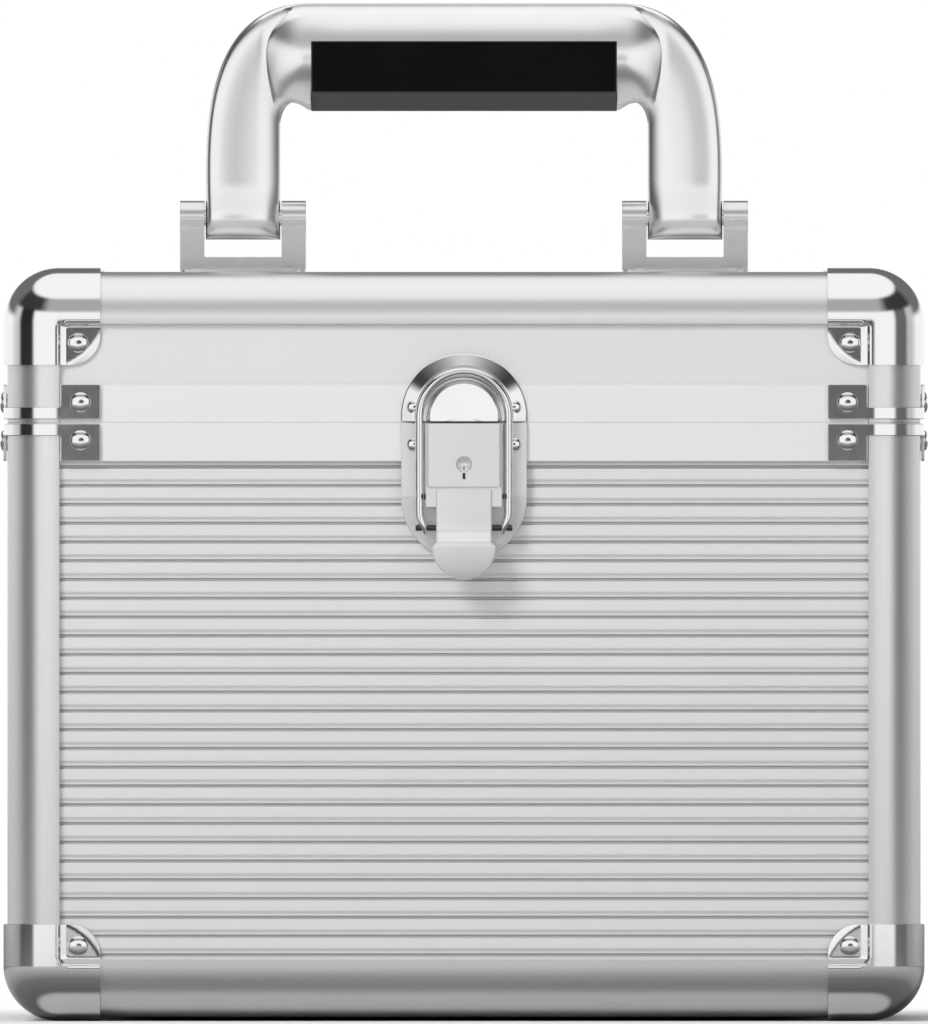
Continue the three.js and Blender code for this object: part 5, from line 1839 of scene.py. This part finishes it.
def floor_finish(v):
    """Pale floor that fades to white. Glossy rays see a painted reflection instead: a darker colour set by
    the angle at which they arrive, then a glow painted with the walls' grey levels
    """
    material, tree, surface = shader("pale_floor", FLOOR_ROUGH)
    surface.inputs["Specular IOR Level"].default_value = 0
    sight = tree.nodes.new("ShaderNodeNewGeometry")
    aside, ahead, steep = parted(tree, sight.outputs["Incoming"])
    painted_reflection_stops = [*FLAT_GLANCE, (STEEP_GLANCE, v.painted_reflection_ahead), (RIGHT_ABOVE, v.painted_reflection_below)]
    gloss = tree.nodes.new("ShaderNodeLightPath").outputs["Is Glossy Ray"]
    # painted reflection: glossy rays see the floor in the grey levels above, not in its own colour
    floor_or_painted_reflection = blended(tree, gloss, (*v.floor_colour, 1), ramp(tree, steep, painted_reflection_stops))
    tree.links.new(floor_or_painted_reflection, surface.inputs["Base Color"])
    white = tree.nodes.new("ShaderNodeEmission")
    # the glow is white to the camera, and for glossy rays it is painted with the walls' grey levels, a
    # painted reflection
    bright = blended(tree, gloss, WHITE, ramp(tree, turned(tree, aside, ahead), FLOOR_PAINTED_WALLS))
    tree.links.new(bright, white.inputs["Color"])
    shown = faded(tree, 0, v.view_near, v.view_far)
    mirror = faded(tree, v.floor_ahead, v.floor_near, v.floor_far)
    change = calculate(tree, "MULTIPLY", calculate(tree, "SUBTRACT", mirror, shown), gloss)
    fade = calculate(tree, "MULTIPLY", calculate(tree, "ADD", shown, change), seen_directly(tree))
    mix = tree.nodes.new("ShaderNodeMixShader")
    tree.links.new(fade, mix.inputs["Fac"])
    tree.links.new(surface.outputs["BSDF"], mix.inputs[1])
    tree.links.new(white.outputs["Emission"], mix.inputs[2])
    tree.links.new(mix.outputs["Shader"], tree.nodes["Material Output"].inputs["Surface"])
    return material


def add_floor(v):
    mesh = bpy.data.meshes.new("floor")
    work = bmesh.new()
    bmesh.ops.create_circle(work, cap_ends=True, radius=v.floor_reach, segments=128)
    work.to_mesh(mesh)
    work.free()
    floor = add_object("floor", mesh)
    floor.data.materials.append(floor_finish(v))


def add_world(v):
    """White to the camera. Light comes from wide soft panels left, right and overhead"""
    world = bpy.data.worlds.new("soft_studio")
    bpy.context.scene.world = world
    world.use_nodes = True
    tree = world.node_tree
    way = tree.nodes.new("ShaderNodeTexCoord").outputs["Generated"]
    aside, away, up = parted(tree, way)
    around = turned(tree, aside, calculate(tree, "MULTIPLY", away, -1))
    above = calculate(tree, "DIVIDE", calculate(tree, "ARCSINE", up), math.pi / 2)
    facing = tree.nodes.new("ShaderNodeVectorMath")
    facing.operation = "DOT_PRODUCT"
    facing.inputs[1].default_value = (math.sin(v.dark_turn), -math.cos(v.dark_turn), 0)
    tree.links.new(way, facing.inputs[0])
    off = calculate(tree, "DIVIDE", calculate(tree, "ARCCOSINE", facing.outputs["Value"]), math.pi)
    to_right = calculate(tree, "GREATER_THAN", aside, 0)
    sides = blended(tree, to_right, ramp(tree, around, LEFT_WALL), ramp(tree, around, RIGHT_WALL))
    front = blended(tree, ramp(tree, above, UPPER_FROM), sides, ramp(tree, around, UPPER_WALL))
    walls = blended(tree, ramp(tree, around, REAR_FROM), front, ramp(tree, above, REAR_BAND))
    open_sky = blended(tree, ramp(tree, above, CEILING_FROM), walls, WHITE)
    studio = blended(tree, ramp(tree, off, DARK_SPOT), open_sky, (DARK_LEVEL, DARK_LEVEL, DARK_LEVEL, 1))
    path = tree.nodes.new("ShaderNodeLightPath").outputs
    background = tree.nodes["Background"].inputs
    tree.links.new(blended(tree, path["Is Camera Ray"], studio, WHITE), background["Color"])
    less = calculate(tree, "MULTIPLY", path["Is Diffuse Ray"], 1 - v.ambient)
    tree.links.new(calculate(tree, "SUBTRACT", 1, less), background["Strength"])


def add_lamp(name, place, size, watts):
    data = bpy.data.lights.new(name, "AREA")
    data.size = size
    data.energy = watts
    lamp = add_object(name, data)
    lamp.location = place
    aim = Vector((0, MIDDLE_Y, TOP / 2)) - Vector(place)
    lamp.rotation_euler = aim.to_track_quat("-Z", "Y").to_euler()
    lamp.visible_camera = False
    lamp.visible_glossy = False


def add_camera(v):
    data = bpy.data.cameras.new("camera")
    data.lens = v.lens
    data.clip_end = VIEW_DEPTH
    camera = add_object("camera", data)
    away = v.view_height * v.lens / data.sensor_width
    camera.location = (0, FRONT - away, v.view_middle)
    camera.rotation_euler = (math.pi / 2, 0, 0)
    bpy.context.scene.camera = camera


# Operators
class CASE_OT_profiles(bpy.types.Operator):
    """Edge profiles, corner profiles and the two rims"""

    bl_idname = "drive_case.profiles"
    bl_label = "Profiles and rims"

    def execute(self, context):
        s = context.scene.case_shell
        inward = {"front": (0, 1, 0), "right": (-1, 0, 0), "back": (0, -1, 0), "left": (1, 0, 0)}
        for wall in WALLS:
            way = inward[wall["name"]]
            add_profile(s, f"lid_top_edge_{wall['name']}", way, (0, 0, -1), "lid")
            add_profile(s, f"base_bottom_edge_{wall['name']}", way, (0, 0, 1), "base", s.sill)
        for corner in CORNERS:
            for body in ("lid", "base"):
                node = f"{body}_post_{corner['name']}"
                drop = LID_BOTTOM - BASE_TOP - s.seam if body == "lid" else 0
                add_profile(s, node, (corner["x"], 0, 0), (0, corner["y"], 0), body, 0, drop)
        add_rims(s)
        return {"FINISHED"}


class CASE_OT_panels(bpy.types.Operator):
    """Ribbed sheet of the base and smooth sheet of the lid"""

    bl_idname = "drive_case.panels"
    bl_label = "Panels"

    def execute(self, context):
        s = context.scene.case_shell
        for wall in WALLS:
            add_ribbed_panel(s, context.scene.case_ribs, wall)
            add_plain_panel(s, wall)
        add_flat_panel(s, "lid_panel_top", "smooth_sheet_top", "lid")
        add_flat_panel(s, "base_panel_bottom", "smooth_sheet_bottom", "base")
        return {"FINISHED"}


class CASE_OT_caps(bpy.types.Operator):
    """Eight ball corner caps with their rivets"""

    bl_idname = "drive_case.caps"
    bl_label = "Corner caps"

    def execute(self, context):
        add_caps(context.scene.case_caps)
        return {"FINISHED"}


class CASE_OT_braces(bpy.types.Operator):
    """Eight braces beside the parting line, with their rivets"""

    bl_idname = "drive_case.braces"
    bl_label = "Corner braces"

    def execute(self, context):
        add_braces(context.scene.case_caps)
        return {"FINISHED"}


class CASE_OT_latch(bpy.types.Operator):
    """Front latch with its housing, lever, bail, key barrel and rivets"""

    bl_idname = "drive_case.latch"
    bl_label = "Latch"

    def execute(self, context):
        t = context.scene.case_latch
        add_catch(t)
        add_base_plate(t)
        add_key_barrel(t)
        add_lever(t)
        add_bail(t)
        add_latch_rivets(t)
        return {"FINISHED"}


class CASE_OT_handle(bpy.types.Operator):
    """Cast handle with its rubber grip, brackets and pins"""

    bl_idname = "drive_case.handle"
    bl_label = "Handle"

    def execute(self, context):
        h = context.scene.case_handle
        add_handle_frame(h)
        add_bar(h)
        add_grip(h)
        for name in SIDES:
            add_bracket(h, name)
        return {"FINISHED"}


class CASE_OT_hinge(bpy.types.Operator):
    """Rolled hinge across the back"""

    bl_idname = "drive_case.hinge"
    bl_label = "Hinge"

    def execute(self, context):
        g = context.scene.case_hinge
        add_leaf(g, "hinge_base_leaf", "base_leaf", "base", -1, 0)
        add_leaf(g, "hinge_lid_leaf", "lid_leaf", "lid", 1, 1)
        add_hinge_pin(g)
        return {"FINISHED"}


class CASE_OT_foam(bpy.types.Operator):
    """Slotted foam tray and the lid's lining"""

    bl_idname = "drive_case.foam"
    bl_label = "Foam"

    def execute(self, context):
        add_tray(context.scene.case_foam)
        add_lining(context.scene.case_foam)
        return {"FINISHED"}


class CASE_OT_stage(bpy.types.Operator):
    """Floor, light and camera"""

    bl_idname = "drive_case.stage"
    bl_label = "Stage"

    def execute(self, context):
        v = context.scene.case_stage
        add_floor(v)
        add_world(v)
        add_lamp("key_light", KEY_PLACE, KEY_SIZE, v.key)
        add_lamp("fill_light", FILL_PLACE, FILL_SIZE, v.fill)
        add_camera(v)
        context.scene.view_settings.view_transform = "Standard"
        return {"FINISHED"}


OPERATORS = [
    CASE_OT_stage, CASE_OT_profiles, CASE_OT_panels, CASE_OT_caps, CASE_OT_braces, CASE_OT_latch,
    CASE_OT_handle, CASE_OT_hinge, CASE_OT_foam,
]


class CASE_PT_panel(bpy.types.Panel):
    """Lists the pieces of the case"""

    bl_idname = "CASE_PT_panel"
    bl_label = "Drive Case"
    bl_space_type = "VIEW_3D"
    bl_region_type = "UI"
    bl_category = "Drive Case"

    def draw(self, context):
        for operator in OPERATORS:
            self.layout.operator(operator.bl_idname)


def register():
    for name, group in SETTINGS.items():
        bpy.utils.register_class(group)
        setattr(bpy.types.Scene, name, bpy.props.PointerProperty(type=group))
    for item in (*OPERATORS, CASE_PT_panel):
        bpy.utils.register_class(item)


def unregister():
    for item in (CASE_PT_panel, *reversed(OPERATORS)):
        bpy.utils.unregister_class(item)
    for name, group in SETTINGS.items():
        delattr(bpy.types.Scene, name)
        bpy.utils.unregister_class(group)


def main():
    register()
    bpy.ops.drive_case.stage()
    bpy.ops.drive_case.profiles()
    bpy.ops.drive_case.panels()
    bpy.ops.drive_case.caps()
    bpy.ops.drive_case.braces()
    bpy.ops.drive_case.latch()
    bpy.ops.drive_case.handle()
    bpy.ops.drive_case.hinge()
    bpy.ops.drive_case.foam()


if __name__ == "__main__":
    main()
